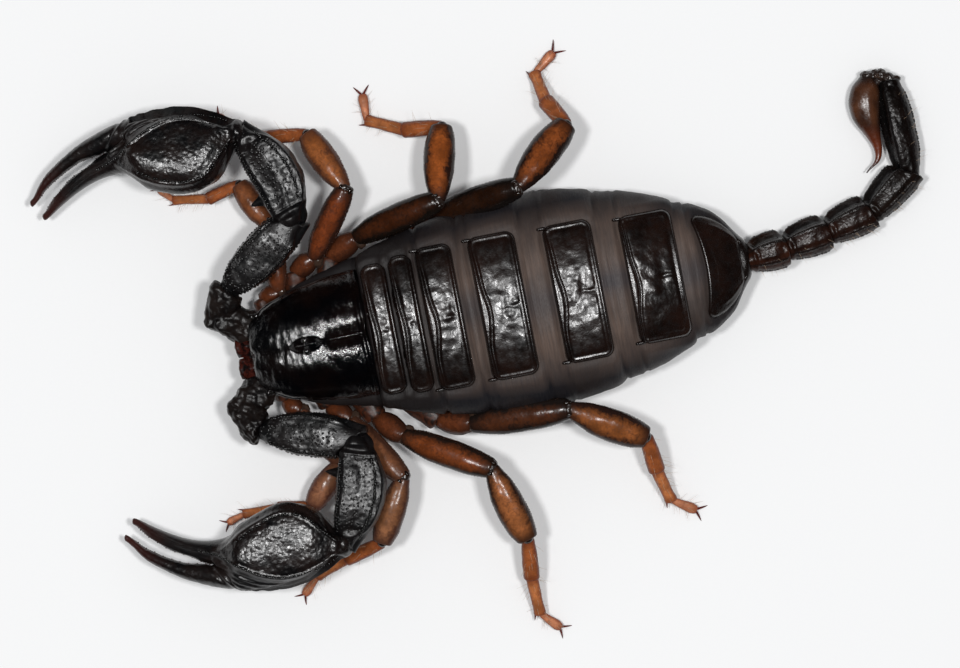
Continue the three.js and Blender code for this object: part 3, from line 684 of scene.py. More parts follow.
def skinFinish():
    material, where = startFinish("pleuralSkin", 0.22)
    run = markOf(where, "run")
    height = addNode(where.id_data, "SeparateXYZ", {"Vector": where}).outputs["Z"]
    folds = noiseOf(stretched(where, (0.5, 7, 1)), 1.6, 4, 0.6)
    patches = noiseOf(where, 0.35, 3, 0.55)
    fine = noiseOf(stretched(where, (1, 2.2, 1)), 9, 3, 0.6)
    back = blendOf(remap(patches, 0.35, 0.65), (0.118, 0.079, 0.061), (0.062, 0.045, 0.038))
    bluish = arithmetic("MULTIPLY", markOf(where, "middle"), remap(patches, 0.3, 0.6, 0.95, 0.45))
    back = blendOf(bluish, back, (0.030, 0.030, 0.036))
    flank = blendOf(remap(patches, 0.4, 0.6), (0.007, 0.007, 0.0095), (0.014, 0.010, 0.0095))
    # the back is beige between the plates, and it slopes down towards the tail
    slope = remap(run, 0.5, 0.85, 0, 1.0)
    colour = blendOf(remap(arithmetic("ADD", height, slope), 4.0, 5.1), flank, back)
    colour = blendOf(remap(folds, 0.35, 0.7, 0, 0.45), colour, (0.02, 0.017, 0.018))
    colour = blendOf(remap(run, 0.12, 0.2, 0.8, 0), colour, (0.008, 0.006, 0.006))
    # the last ring before the tail is hard, dark and glossy
    hard = remap(run, 0.955, 0.98)
    colour = blendOf(hard, colour, (0.005, 0.003, 0.0025))
    gloss = remap(fine, 0.3, 0.7, 0.42, 0.62)
    gloss = arithmetic("SUBTRACT", gloss, arithmetic("MULTIPLY", hard, 0.26))
    return endFinish(material, colour, gloss, bumpOf(fine, 0.35, 0.02, bumpOf(folds, 0.5, 0.05)))


skin = bringTogether([addTrunk(), addNeck()], "trunkSkin")
paint(skin, skinFinish())
handOver(skin, "skin", "trunk")


plate = {
    "columns": 150,
    "finest": 0.045,  # the rows are this far apart
    "thickness": 0.3,
    "sunk": 0.16,  # how deep the outline stands in the skin
    "proud": 0.11,
    "edge": 0.1,
    "strip": 1,  # strength of the strip along the front and the groove behind it
    "rim": 0.035,
    "gutter": 0.035,
    "dent": 0.042,
    "fineDent": 0.00924,
    "furrow": 0.04,
    "rearSink": 0,
    "keel": 0,
}
# the last plate is a plain cap with a keel on each side, which fades into the end of the trunk
lastPlate = plate | {
    "thickness": 0.06,
    "proud": 0.02,
    "edge": 0.12,
    "strip": 0.1,
    "rim": 0,
    "gutter": 0,
    "dent": 0.0168,
    "fineDent": 0.002772,
    "furrow": 0,
    "rearSink": 0.3,
    "keel": 0.03,
}
print("back plates")


def stripWidth(x, length):
    # the narrow strip along a plate's front is widest at the middle
    wide = 0.21 + 0.24 * hill(x, -0.1, 1.5) + 0.035 * math.sin(x * 2.3) + 0.03 * math.tanh((x + 0.6) * 3)
    return wide * min(1, length / 1.9) + 0.04


def plateRise(x, y, plan, looks):
    start, end, half = plan[0] + plateBow(x, plan), plan[1], plan[2]
    length, fromStart = end - start, y - start
    inside = -plateDistance(x, y, plan)
    rise = (looks["proud"] + looks["sunk"]) * smooth(-0.02, looks["edge"], inside) - looks["sunk"]
    groove = stripWidth(x, length)
    main = smooth(groove - 0.03, groove + 0.08, fromStart)
    # rounded strip in front, sunk groove behind it
    middle = (1 - 0.55 * smooth(1.2, 2.8, abs(x))) * looks["strip"]
    rise += 0.03 * hill(fromStart, groove * 0.55, groove * 0.3) * (1 - main) * middle
    rise -= 0.14 * hill(fromStart, groove, 0.06) * middle
    # a rim round the rest, higher at the rear than at the sides, with a gutter inside it
    beside = smooth(half - 0.7, half - 0.3, abs(x))
    rise += looks["rim"] * (1 - 0.5 * beside) * hill(inside, 0.13, 0.07) * main
    rise -= looks["gutter"] * hill(inside, 0.31, 0.09) * main
    rise -= looks["rearSink"] * smooth(end - 0.4, end, y)
    keelX = 0.8 * plateWidth(plan, max(0, fromStart / length))
    rise += looks["keel"] * hill(abs(x), keelX, 0.09) * smooth(0.5, 1.0, fromStart)
    # hammered field: dents are deepest along the middle, and a short furrow runs down it
    centre = hill(x, 0, 1.9)
    place = Vector(((x + trunk["middle"]) * 1.9, y * 1.9, start))
    field = main * smooth(0.3, 0.5, inside)
    rise += looks["dent"] * (0.25 + centre) * noise.noise(place * 1.05) * field
    rise += looks["fineDent"] * centre * noise.noise(place * 3.0) * field
    rise += wobble(place, (0.006, 9))
    wander = 0.09 * noise.noise(Vector((y * 2.5, start, 0)))
    run = fromStart / length
    furrow = hill(x, 0.05 + wander, 0.1) * smooth(0.35, 0.7, run)
    furrow += 0.875 * hill(x, 0.35 * math.sin(start), 0.8) * hill(run, 0.62, 0.12)
    return rise - looks["furrow"] * furrow * field


def addPlate(index, plan):
    start, end, half, _, _ = plan
    looks = lastPlate if plan is backPlates[-1] else plate
    length, corner = end - start, plateOutline["corner"]
    rows = max(24, round(length / looks["finest"]))
    clearSelection()
    bpy.ops.mesh.primitive_grid_add(x_subdivisions=looks["columns"], y_subdivisions=rows, size=2)
    piece = bpy.context.object
    for vertex in piece.data.vertices:
        v = (vertex.co.y + 1) / 2
        wide = plateWidth(plan, v)
        x, y = vertex.co.x * wide, start + v * length
        # corners pulled in to quarter rounds
        dx, dy = abs(x) - (wide - corner), abs(y - (start + end) / 2) - (length / 2 - corner)
        if dx > 0 and dy > 0:
            a, b = dx / corner, dy / corner
            x -= math.copysign(corner * (a - a * math.sqrt(1 - b * b / 2)), x)
            y -= math.copysign(corner * (b - b * math.sqrt(1 - a * a / 2)), y - (start + end) / 2)
        y += (1 - v) * plateBow(x, plan)
        vertex.co = (x + trunk["middle"], y, backHeight(x, y) + plateRise(x, y, plan, looks))
    applyModifier(piece, "SMOOTH", factor=0.5, iterations=2)
    applyModifier(piece, "SOLIDIFY", thickness=looks["thickness"], offset=-1)
    paint(piece, plateShell)
    putInFrame(piece)
    knobs = []
    if length > 1.5 and looks is plate:
        # the side rims run on forward and end in small knobs
        for side in (-1, 1):
            x = side * (half - 0.13)
            for forward, radii in ((0.0, (0.1, 0.24, 0.09)), (0.17, (0.085, 0.1, 0.09))):
                y = start - forward + 0.03
                at = (x + trunk["middle"], y, backHeight(x, y) + 0.07)
                knobs.append(addKnob(bodyPlace, at, radii, plateShell))
    return bringTogether([piece, *knobs], f"backPlate{index}")


def plateFinish():
    material, where = startFinish("backPlate", 0.53)
    tint = noiseOf(where, 0.5, 4, 0.6)
    mottle = noiseOf(where, 3.5, 4, 0.65)
    hammered = noiseOf(where, 2.6, 3, 0.55, 0.6)
    pores = cellsOf(where, 11)
    colour = blendOf(remap(tint, 0.35, 0.68), (0.003, 0.0017, 0.0014), (0.012, 0.005, 0.0034))
    colour = blendOf(remap(mottle, 0.5, 0.75, 0, 0.5), colour, (0.002, 0.002, 0.0028))
    rough = remap(mottle, 0.3, 0.7, 0.19, 0.34)
    bumps = bumpOf(mottle, 0.2, 0.02, bumpOf(hammered, 0.22, 0.05))
    return endFinish(material, colour, rough, bumpOf(pores, 0.12, 0.02, bumps))


plateShell = plateFinish()
for index, plan in enumerate(backPlates, 1):
    handOver(addPlate(index, plan), "plate", f"tergite_{index}")


shield = {
    "front": (-0.06, -5.95, 3.0),
    "heading": 91.3,
    "length": 5.98,
    "halfWidths": (1.68, 2.38, 2.76, 3.0, 3.18, 3.22),
    "crown": (1.0, 1.55, 1.75, 1.85, 1.87, 1.8),
    "rim": 0.36,
    "squareness": 2.05,
    "sides": 64,
    "rows": 30,
    # stations where the front corners and the rear edge are rounded
    "frontRound": ((-0.04, 0, 0.55), (0.0, 0, 0.72), (0.05, 0.01, 0.86), (0.14, 0.02, 0.95)),
    "rearRound": ((-0.07, 0.99, 0.985), (-0.035, 1, 0.95)),
    "cuts": (-0.17, -0.07, -0.02, 0.02, 0.07, 0.17),
    "eyesAt": 2.8405,  # how far behind the front edge the middle eyes are
    "valley": 0.2,
    "frontValley": 0.09,
    "eyeMound": 0.25,
}
print("head shield")


def shieldRelief(point, run):
    x, y, z = point.x, point.y, point.z
    if y < 0:
        return 0
    top = smooth(0.25, 0.8, y)
    # a valley runs along the middle, widening to the rear, and leaves a swell on either side
    behindEyes = run * shield["length"] - shield["eyesAt"]
    rear, front = smooth(0.7, 1.3, behindEyes), smooth(0.8, 1.6, -behindEyes)
    wave = 1 + 0.12 * noise.noise(Vector((x * 0.6, y, z * 1.1)))
    rise = -shield["valley"] * hill(x, 0, (0.38 + 0.06 * max(behindEyes - 0.8, 0)) * wave) * top * rear
    rise -= shield["frontValley"] * hill(x, 0, 0.4 * wave) * top * front * smooth(0.05, 0.2, run)
    # a sharp line along its bottom
    rise -= 0.035 * max(0, 1 - abs(x) / 0.1) * top * max(rear, front)
    # beside the eyes the swells are broad and level
    rise += 0.1 * hill(abs(x), 1.0, 0.6) * hill(behindEyes, -0.15, 0.95) * top
    # the lens-shaped mound with the two middle eyes has steep sides
    lens = 0.4 * max(0, 1 - (behindEyes / 0.95) ** 2)
    if abs(x) < lens:
        rise += shield["eyeMound"] * (1 - abs(x) / lens) * smooth(0, 0.3, lens)
    # a sunk band, then a low ridge, before the rear edge
    rise += (0.04 * hill(run, 0.975, 0.014) - 0.07 * hill(run, 0.945, 0.014)) * top
    # a fine line above the front and side edges
    rise += 0.02 * hill(y, 0.30, 0.07) * smooth(0.0, 0.05, run) - 0.03 * hill(y, 0.48, 0.08)
    rise += 0.034 * noise.noise(Vector((x * 1.5, y, z * 1.5)))
    rise += 0.026 * noise.noise(Vector((x * 1.6, y, z * 4.5))) * top
    grain = 0.012 * (1.25 - smooth(0.1, 0.5, run))
    return rise + grain * noise.noise(Vector((x * 5, y * 3, z * 5)))


def addShield():
    rows, length = shield["rows"], shield["length"]
    rings = []
    ends = list(shield["frontRound"])
    ends += [(0.14 + (length - 0.28) * i / rows, 0.024 + 0.96 * i / rows, 1) for i in range(1, rows + 1)]
    ends += [(length + z, t, share) for z, t, share in shield["rearRound"]]
    for z, t, share in ends:
        half = along(shield["halfWidths"], t) * share
        up = along(shield["crown"], t) * (share if t > 0.5 else 0.35 + 0.65 * share)
        rings.append((z, 0, 0, half, half, up, shield["rim"] * share))
    tube = ringTube(shield["sides"], rings, shield["squareness"])
    for vertex in tube.data.vertices:
        x, y, z = vertex.co
        # the front edge is hollowed at the middle and swept back at the corners
        vertex.co.z += (1 - smooth(0, 0.9, z)) * (0.17 * hill(x, 0, 0.34) + 0.10 * (abs(x) / 1.7) ** 3)
        # the side edge is undercut
        vertex.co.x *= 1 - 0.07 * (1 - smooth(-0.05, 0.35, y))
    subdivide(tube, 2)
    # lengthwise cuts keep the bottom of the valley sharp
    editAll(tube)
    for offset in shield["cuts"]:
        bpy.ops.mesh.select_all(action="SELECT")
        bpy.ops.mesh.bisect(plane_co=(offset, 0, 0), plane_no=(1, 0, 0))
    bpy.ops.object.mode_set(mode="OBJECT")
    sculpt(tube, shieldRelief)
    # the shell is duller beside the eyes
    markPoints(tube, "face", lambda p: hill(p.x, 0, 1.1) * hill(p.z, shield["eyesAt"] - 0.2, 1.0))
    putInFrame(tube, shieldPlace)
    return bringTogether([tube], "headShield")


def shieldFinish():
    material, where = startFinish("headShield", 0.75)
    tint = noiseOf(where, 0.6, 3, 0.5)
    mottle = noiseOf(where, 4, 4, 0.6)
    grains = cellsOf(where, 7.5)
    colour = blendOf(remap(tint, 0.4, 0.7), (0.0008, 0.0008, 0.0012), (0.004, 0.0018, 0.0014))
    front = remap(markOf(where, "run"), 0.12, 0.55, 1, 0)
    rough = arithmetic("ADD", remap(mottle, 0.35, 0.7, 0.1, 0.19), arithmetic("MULTIPLY", front, 0.09))
    rough = arithmetic("ADD", rough, arithmetic("MULTIPLY", markOf(where, "face"), 0.06))
    # fine streaks across the swells, and low grains that show most towards the front
    streaks = noiseOf(stretched(where, (1.5, 2.6, 1)), 3.2, 4, 0.65, 1.2)
    grained = arithmetic("MULTIPLY", remap(grains, 0.0, 0.55, 1, 0), arithmetic("ADD", front, 0.12))
    return endFinish(material, colour, rough, bumpOf(grained, 0.22, 0.03, bumpOf(streaks, 0.4, 0.035)))


shieldPlace = placement(shield["front"], shield["heading"], 0)
piece = addShield()
paint(piece, shieldFinish())
handOver(piece, "shield", "carapace")


# hip, then the headings and pitches of a leg's parts outward from it
legs = {
    "right_1": ((-2.8, -5.0, 1.5), (102, 176, -155, -76, -99, -137), (17, 2, -6, -17, -19)),
    "right_2": ((-3.8, -3.15, 1.6), (114, 144, -156, -97, -113, -141), (26, 17, -15, -27, -28)),
    "right_3": ((-4.2, -1.3, 1.6), (114, 103, 166, -97, -116, 179), (26, 20, -22, -35, -22)),
    "right_4": ((-4.4, 2.5, 1.3), (113, 99, 131, -151, -170, 128), (31, 24, -19, -41, -39)),
    "left_1": ((2.4, -4.8, 1.5), (43, 29, -44, -98, -91, -71), (17, 2, -6, -17, -19)),
    "left_2": ((3.1, -2.7, 1.6), (46, 32, -29, -76, -70, -46), (18, 13, -8, -27, -27)),
    "left_3": ((4.1, -0.5, 1.6), (46, 59, 16, -5, 2, 44), (26, 13, -10, -31, -28)),
    "left_4": ((4.8, 2.5, 1.3), (73, 88, 59, 7, 15, 57), (31, 14, -10, -34, -31)),
}
legSizes = {
    "1": {"lengths": (1.0, 3.2, 2.7, 1.8, 1.85, 0.95), "girth": 0.84, "claw": 0.5},
    "2": {"lengths": (1.35, 3.95, 3.45, 2.2, 1.9, 1.2), "girth": 0.95, "claw": 0.55},
    "3": {"lengths": (1.85, 4.75, 4.0, 2.3, 2.1, 1.3), "girth": 1.05, "claw": 0.62},
    "4": {"lengths": (1.95, 5.0, 4.2, 2.1, 1.95, 1.4), "girth": 1.1, "claw": 0.66},
}
legShape = {
    "depth": 0.82,
    "footLevel": 0.22,
    "clawSpread": 32,
    "clawDip": 6,
    "clawRadius": 0.062,
    "clawBend": 0.05,
    "spurLean": 16,
    "spurLength": 0.42,
    "spurRadius": 0.055,
    # half widths at even steps along each part, front side and tail side
    "trochanter": ((0.36, 0.52, 0.6, 0.56, 0.4), (0.4, 0.58, 0.62, 0.56, 0.4)),
    "femur": ((0.42, 0.6, 0.7, 0.72, 0.71, 0.65, 0.5), (0.4, 0.56, 0.63, 0.66, 0.66, 0.61, 0.5)),
    "patella": ((0.38, 0.56, 0.72, 0.79, 0.79, 0.72, 0.54), (0.37, 0.54, 0.66, 0.71, 0.71, 0.66, 0.52)),
    "tibia": ((0.3, 0.34, 0.37, 0.38, 0.39, 0.39, 0.4),) * 2,
    "basitarsus": ((0.3, 0.3, 0.29, 0.28, 0.27, 0.27, 0.31),) * 2,
    "tarsus": ((0.14, 0.17, 0.19, 0.21, 0.23, 0.25, 0.2),) * 2,
}
# rows of beads: angle from the dark side towards the top, beads for each millimetre, their size
legBeads = {
    "femur": ((8, 7, 0.036), (26, 6, 0.028), (180, 6, 0.028)),
    "patella": ((6, 6, 0.03), (180, 6, 0.026)),
}
# middle and edge colours: thigh, then patella; the edge colour is that of the dark keels, and it also paints
# shade on the rounded sides
legTints = {
    "right_1": ((0.15, 0.038, 0.012), (0.05, 0.018, 0.01), (0.24, 0.08, 0.03), (0.08, 0.028, 0.014)),
    "right_2": ((0.16, 0.036, 0.010), (0.022, 0.009, 0.006), (0.27, 0.085, 0.024), (0.06, 0.022, 0.012)),
    "right_3": ((0.044, 0.012, 0.004), (0.006, 0.004, 0.003), (0.27, 0.068, 0.014), (0.016, 0.007, 0.005)),
    "right_4": ((0.020, 0.007, 0.003), (0.005, 0.0035, 0.003), (0.21, 0.054, 0.013), (0.012, 0.006, 0.0045)),
    "left_1": ((0.20, 0.08, 0.04), (0.08, 0.03, 0.018), (0.26, 0.11, 0.055), (0.08, 0.03, 0.02)),
    "left_2": ((0.20, 0.075, 0.033), (0.05, 0.02, 0.012), (0.24, 0.10, 0.045), (0.05, 0.02, 0.013)),
    "left_3": ((0.17, 0.042, 0.011), (0.012, 0.007, 0.005), (0.30, 0.10, 0.032), (0.020, 0.009, 0.006)),
    "left_4": ((0.065, 0.020, 0.008), (0.009, 0.006, 0.005), (0.23, 0.072, 0.020), (0.018, 0.008, 0.006)),
}
hipTint = ((0.11, 0.030, 0.011), (0.032, 0.011, 0.006))
footTints = {
    "tibia": ((0.29, 0.082, 0.024), (0.10, 0.020, 0.008)),
    "basitarsus": ((0.40, 0.135, 0.045), (0.14, 0.030, 0.012)),
    "tarsus": ((0.47, 0.18, 0.09), (0.20, 0.045, 0.02)),
}
print("legs")


def legTube(part, place, length, girth, side, finish):
    # side is +1 for the animal's left legs, where the tail side is to the left of travel
    front, tailward = legShape[part]
    edges = (tailward, front) if side > 0 else (front, tailward)
    left, right = (tuple(half * girth for half in edge) for edge in edges)

    def depth(t):
        return (along(left, t) + along(right, t)) / 2 * legShape["depth"]

    stops = stations(length, 22 if part in legBeads else 14)
    darkSide = 0 if side > 0 else 180
    # the keel mark spreads from both side edges nearly to the top; the finish darkens it, partly for the dark
    # keels and partly as painted shade on the rounded sides
    keels = ((darkSide, 85, 1.0), (180 - darkSide, 74, 0.85))
    tube = shapedTube(20, stops, (0, 0, left, right, depth, depth), 2.2, keels)
    subdivide(tube, 1)
    roughen(tube, (0.02, 1.6), (0.006, 5))
    paint(tube, finish)
    putInFrame(tube, place)
    return tube


def legFinish(name, middle, edge, endsDark, gloss=0.19, edgeReach=(0.02, 0.46)):
    material, where = startFinish(name, 0.2)
    run, keel = markOf(where, "run"), markOf(where, "keel")
    cloud = noiseOf(where, 1.1, 4, 0.6)
    speck = noiseOf(where, 9, 3, 0.6)
    veins = noiseOf(where, 4.2, 4, 0.7, 0.8)
    darker = tuple(c * 0.55 for c in middle)
    colour = blendOf(remap(cloud, 0.35, 0.68), darker, tuple(c * 1.35 for c in middle))
    colour = blendOf(remap(veins, 0.48, 0.66, 0, 0.6), colour, darker)
    colour = blendOf(remap(speck, 0.45, 0.75, 0, 0.35), colour, edge)
    # towards the side edges the colour turns to the edge colour: partly the dark keels, partly painted shade
    # on the rounded sides
    wander = arithmetic("ADD", keel, remap(cloud, 0.3, 0.7, -0.2, 0.2))
    wander = arithmetic("ADD", wander, remap(veins, 0.35, 0.68, -0.1, 0.12))
    colour = blendOf(remap(wander, *edgeReach), colour, edge)
    # the ends by the joints are darker
    colour = blendOf(remap(run, 0.80, 0.97, 0, endsDark), colour, edge)
    colour = blendOf(remap(run, 0.03, 0.2, endsDark, 0), colour, edge)
    rough = remap(speck, 0.3, 0.7, gloss - 0.06, gloss + 0.10)
    # low grains, most of them along the dark edges
    grain = remap(cellsOf(where, 6.5), 0, 0.5, 1, 0)
    grain = arithmetic("MULTIPLY", grain, remap(keel, 0.25, 0.8, 0.15, 1))
    return endFinish(material, colour, rough, bumpOf(cloud, 0.2, 0.05, bumpOf(grain, 0.5, 0.03)))


def addHook(place, length, radius, bend=0):
    # a thin tapered hook, its tip bent sideways and a little down
    rings = []
    for z, t, share in stations(length, 8, start=((-0.02, 0.6),), end=((0.015, 0.4),)):
        r = radius * share * (1 - t) ** 0.6 + 0.012
        rings.append((z, bend * t * t, -0.4 * radius * t * t, r, r, r, r))
    tube = ringTube(10, rings)
    subdivide(tube, 1)
    paint(tube, clawShell)
    putInFrame(tube, place)
    return tube


def addKnee(place, z, girth, side):
    # two dark knobs and a little skin where two parts of a leg meet
    def sized(x, y, z):
        return (x * girth, y * girth, z)

    return [
        addKnob(place, sized(side * 0.27, 0.2, z - 0.02), sized(0.12, 0.17, 0.24), condyleShell),
        addKnob(place, sized(-side * 0.25, 0.22, z), sized(0.10, 0.14, 0.19), condyleShell),
        addMembrane(place, sized(0, 0.02, z + 0.03), sized(0.4, 0.34, 0.2), foldShell),
    ]


def addLegBeads(part, tube, place, length, side, finish):
    spots = []
    darkSide = 0 if side > 0 else 180
    for angle, perMm, size in legBeads[part]:
        spots += beadsAlong(tube, place, length, darkSide + side * angle, round(length * perMm), size)
    return scatter(bead, spots, finish)


def addLeg(name, hip, headings, pitches):
    sideName, number = name.split("_")
    side = 1 if sideName == "left" else -1
    sizes = legSizes[number]
    lengths, girth = sizes["lengths"], sizes["girth"]
    places = chain(hip, lengths, headings, pitches)
    # the last part dips so that the foot meets the floor
    ankle = places[-1][0] @ Vector((0, 0, places[-1][1]))
    dip = math.degrees(math.asin((legShape["footLevel"] - ankle.z) / lengths[5]))
    places.append((placement(ankle, headings[5], dip), lengths[5]))
    middle, edge, patellaMiddle, patellaEdge = legTints[name]
    thighShell = legFinish(f"thigh_{name}", middle, edge, endsDark=0.8)
    hipShell = legFinish(f"hip_{name}", *hipTint, endsDark=0.8)
    patellaShell = legFinish(f"patella_{name}", patellaMiddle, patellaEdge, endsDark=0.9)
    trochanter = legTube("trochanter", *places[0], girth, side, hipShell)
    femur = legTube("femur", *places[1], girth, side, thighShell)
    patella = legTube("patella", *places[2], girth, side, patellaShell)
    femurBeads = addLegBeads("femur", femur, *places[1], side, thighShell)
    patellaBeads = addLegBeads("patella", patella, *places[2], side, patellaShell)
    at = (side * 0.12 * girth, -0.08, lengths[0] + 0.02)
    hipSkin = addMembrane(places[0][0], at, (0.5 * girth, 0.34 * girth, 0.36), membrane)
    knee = addKnee(places[1][0], lengths[1] + 0.02, girth, side)
    thigh = bringTogether([trochanter, femur, femurBeads, hipSkin, *knee], f"thigh_{name}")
    handOver(thigh, "leg_dark", f"leg_{name}_thigh")
    radii = (0.26 * girth, 0.27 * girth, 0.2)
    ankleKnob = addKnob(places[2][0], (0, 0.12 * girth, lengths[2]), radii, condyleShell)
    shin = bringTogether([patella, patellaBeads, ankleKnob], f"patella_{name}")
    handOver(shin, "leg_amber", f"leg_{name}_patella")

    pieces = [legTube(part, *places[i], girth, side, footShells[part]) for i, part in enumerate(footTints, 3)]
    tip = places[5][0] @ Matrix.Translation((0, 0, lengths[5] - 0.05))
    for turn in (-1, 1):
        clawPlace = tip @ Matrix.Rotation(math.radians(turn * legShape["clawSpread"]), 4, "Y")
        clawPlace = clawPlace @ Matrix.Rotation(math.radians(legShape["clawDip"]), 4, "X")
        bend = turn * legShape["clawBend"]
        pieces.append(addHook(clawPlace, sizes["claw"] + 0.05, legShape["clawRadius"] * girth, bend))
    # a short spur beside the last joint, on the outside of the bend
    ankleTurn = (headings[5] - headings[4] + 180) % 360 - 180
    out = -math.copysign(1, ankleTurn)
    spurPlace = places[4][0] @ Matrix.Translation((out * 0.2 * girth, 0, lengths[4] - 0.08))
    spurPlace = spurPlace @ Matrix.Rotation(math.radians(out * legShape["spurLean"]), 4, "Y")
    pieces.append(addHook(spurPlace, legShape["spurLength"] * girth, legShape["spurRadius"] * girth))
    handOver(bringTogether(pieces, f"foot_{name}"), "leg_amber", f"leg_{name}_foot")
    return places


condyleShell = plainFinish("condyle", (0.012, 0.006, 0.004), roughness=0.14, specular=0.6)
membrane = plainFinish("jointSkin", (0.045, 0.026, 0.018), roughness=0.16, specular=0.5)
foldShell = plainFinish("tailFold", (0.022, 0.013, 0.010), roughness=0.28, specular=0.6)
clawShell = plainFinish("claw", (0.11, 0.012, 0.008), roughness=0.22, specular=0.6)
footShells = {}
for part, (middle, edge) in footTints.items():
    footShells[part] = legFinish(part, middle, edge, endsDark=0.75, gloss=0.28, edgeReach=(0.2, 0.75))
legPlaces = {name: addLeg(name, *plan) for name, plan in legs.items()}


# tubes that are cut at their joints, fused and given a fine even mesh

def cutBeyond(piece, point, normal):
    # takes away what lies beyond a plane, and closes the cut
    editAll(piece)
    bpy.ops.mesh.bisect(plane_co=point, plane_no=normal, use_fill=True, clear_outer=True)
    bpy.ops.object.mode_set(mode="OBJECT")


def directionOf(place):
    return (place.to_3x3() @ Vector((0, 0, 1))).normalized()


def mitre(tube, place, length, before=None, after=None, gap=0.0):
    # cuts a tube halfway between its own direction and its neighbours'
    inward = place.to_3x3().inverted()
    for other, at, keep in ((before, 0, 1), (after, length, -1)):
        if other is not None:
            normal = (Vector((0, 0, 1)) + inward @ directionOf(other)).normalized()
            cutBeyond(tube, Vector((0, 0, at)) + normal * gap * keep, -normal * keep)


def fuse(pieces, name, voxel, smoothing):
    whole = bringTogether(pieces, name)
    applyModifier(whole, "REMESH", mode="VOXEL", voxel_size=voxel)
    applyModifier(whole, "SMOOTH", factor=0.5, iterations=smoothing)
    return whole


palps = {
    "right": {
        "side": -1,
        "start": (-1.15, -5.2, 2.35),
        "headings": (-120, 150, 126.5, -161.5, -80),
        "pitches": (8, 16, 11, 0, -13.5),
        "fold": 0.26,  # depth of the fold along the patella
        "palmInner": (-0.42, -1.05, -1.85, -1.88, -1.3, -0.35, 0.25),
        "flat": 1.45,  # how far the level part of the palm reaches from its inner edge
        "lean": 0.4,  # how far the palm leans down from there to its keel
    },
    "left": {
        "side": 1,
        "start": (1.1, -5.1, 2.35),
        "headings": (-54, 36, 72, -15.5, -104.5),
        "pitches": (8, 18, 11, 0, -13.5),
        "fold": 0.17,
        "palmInner": (-0.42, -1.05, -1.75, -1.75, -1.02, -0.1, 0.3),
        "flat": 2.2,
        "lean": 0.12,
    },
}
palpLengths = (2.35, 1.5, 4.7, 5.05, 11.1)
palpShape = {
    "overrun": 0.5,
    "coxaTrim": 0.4,
    "squareness": 3,
    "baseEdge": (0.5, 0.75, 0.85, 0.7),
    "baseDepth": (0.6, 0.7, 0.75, 0.7),
    "femurBody": (0.3, 0.8, 1.12, 1.2, 1.1, 0.9),
    "femurFar": (0.3, 0.7, 0.95, 0.97, 0.92, 0.82),
    "femurDepth": (0.55, 0.8, 0.88, 0.9, 0.85, 0.75),
    "elbow": (0.6, 1.2, 1.68, 1.78, 1.55, 1.0, 0.45),
    "elbowFront": (0.6, 0.7, 0.7, 0.7, 0.7, 0.6, 0.4),
    "elbowDepth": (0.7, 0.95, 1.05, 1.05, 1.0, 0.8, 0.5),
    # a cone on the front of the patella: its place, and its radii and height
    "spur": (0.85, 0.25, 1.55),
    "spurCone": (0.45, 0.02, 0.98),
    # place and radii of the ball at the patella's root
    "elbowBall": ((0, 0.05, 0.1), (0.98, 0.93, 0.7)),
}
# the hand, measured outward from its axis, at even steps between the start and end of each piece
handShape = {
    "squareness": 3.4,
    "fingerSquareness": 2.3,
    "palm": (-0.25, 6.6),
    "palmOuter": (0.45, 1.4, 2.12, 2.48, 2.64, 2.66, 2.55),
    "palmDepth": (0.55, 0.95, 1.25, 1.42, 1.5, 1.4, 0.8),
    "fixed": (5.0, 11.0),
    "fixedTeeth": (1.3, 1.45, 1.42, 1.15, 0.9, 0.4, -0.22),
    "fixedBack": (-0.7, 0.0, 0.3, 0.3, 0.1, -0.22, -0.58),
    "fixedDepth": (1.05, 0.85, 0.7, 0.58, 0.48, 0.36, 0.12),
    "movable": (5.0, 11.35),
    "movableBack": (2.6, 2.62, 2.5, 2.28, 1.92, 1.42, 0.62),
    "movableTeeth": (1.1, 1.42, 1.47, 1.5, 1.26, 0.88, 0.28),
    "movableDepth": (0.95, 0.85, 0.7, 0.58, 0.46, 0.33, 0.12),
    "knuckle": (1.48, 6.26),
    "knuckleSlant": 41,
    "wrist": ((0, 0.0, 0.2), (0.72, 0.8, 0.62)),
    # the upper keel, millimetre by millimetre from the wrist to the tip of the fixed finger
    "keel": (0.5, 1.15, 1.68, 1.86, 1.74, 1.42, 1.04, 0.86, 0.72, 0.42, 0.02, -0.4),
}
# rows of teeth on the biting edges: where a row starts, its length, the length of finger that is
# measured for it, and its angle round the finger
bite = {"count": 34, "fixed": (6.9, 3.8, 6, 8), "movable": (7.1, 3.7, 6.1, 172)}
print("palps")


def palpTube(length, left, right, depth, rows=20, sides=32):
    over = palpShape["overrun"]
    stops = shifted(stations(length + 2 * over, rows), -over)
    return shapedTube(sides, stops, (0, 0, left, right, depth, depth), palpShape["squareness"])


def palpEdge(z, edge, length):
    over = palpShape["overrun"]
    return along(edge, (z + over) / (length + 2 * over))


def edgeLine(edge, length, side):
    # a line over the upper face, at a share of the way out to an edge
    return lambda z, share: side * palpEdge(z, edge, length) * share


def handTube(side, reach, outer, inner, depth, squareness):
    start, end = handShape[reach]

    def middle(t):
        return (along(outer, t) + along(inner, t)) / 2 * side

    def half(t):
        return (along(outer, t) - along(inner, t)) / 2

    stops = shifted(stations(end - start, 30), start)
    return shapedTube(36, stops, (middle, 0, half, half, depth, depth), squareness)


def keelAt(z):
    return along(handShape["keel"], z / (len(handShape["keel"]) - 1))


def addKnuckle(at, radii):
    ball = addSphere(at, radii, 32, 20)
    applyPlace(ball)
    return ball


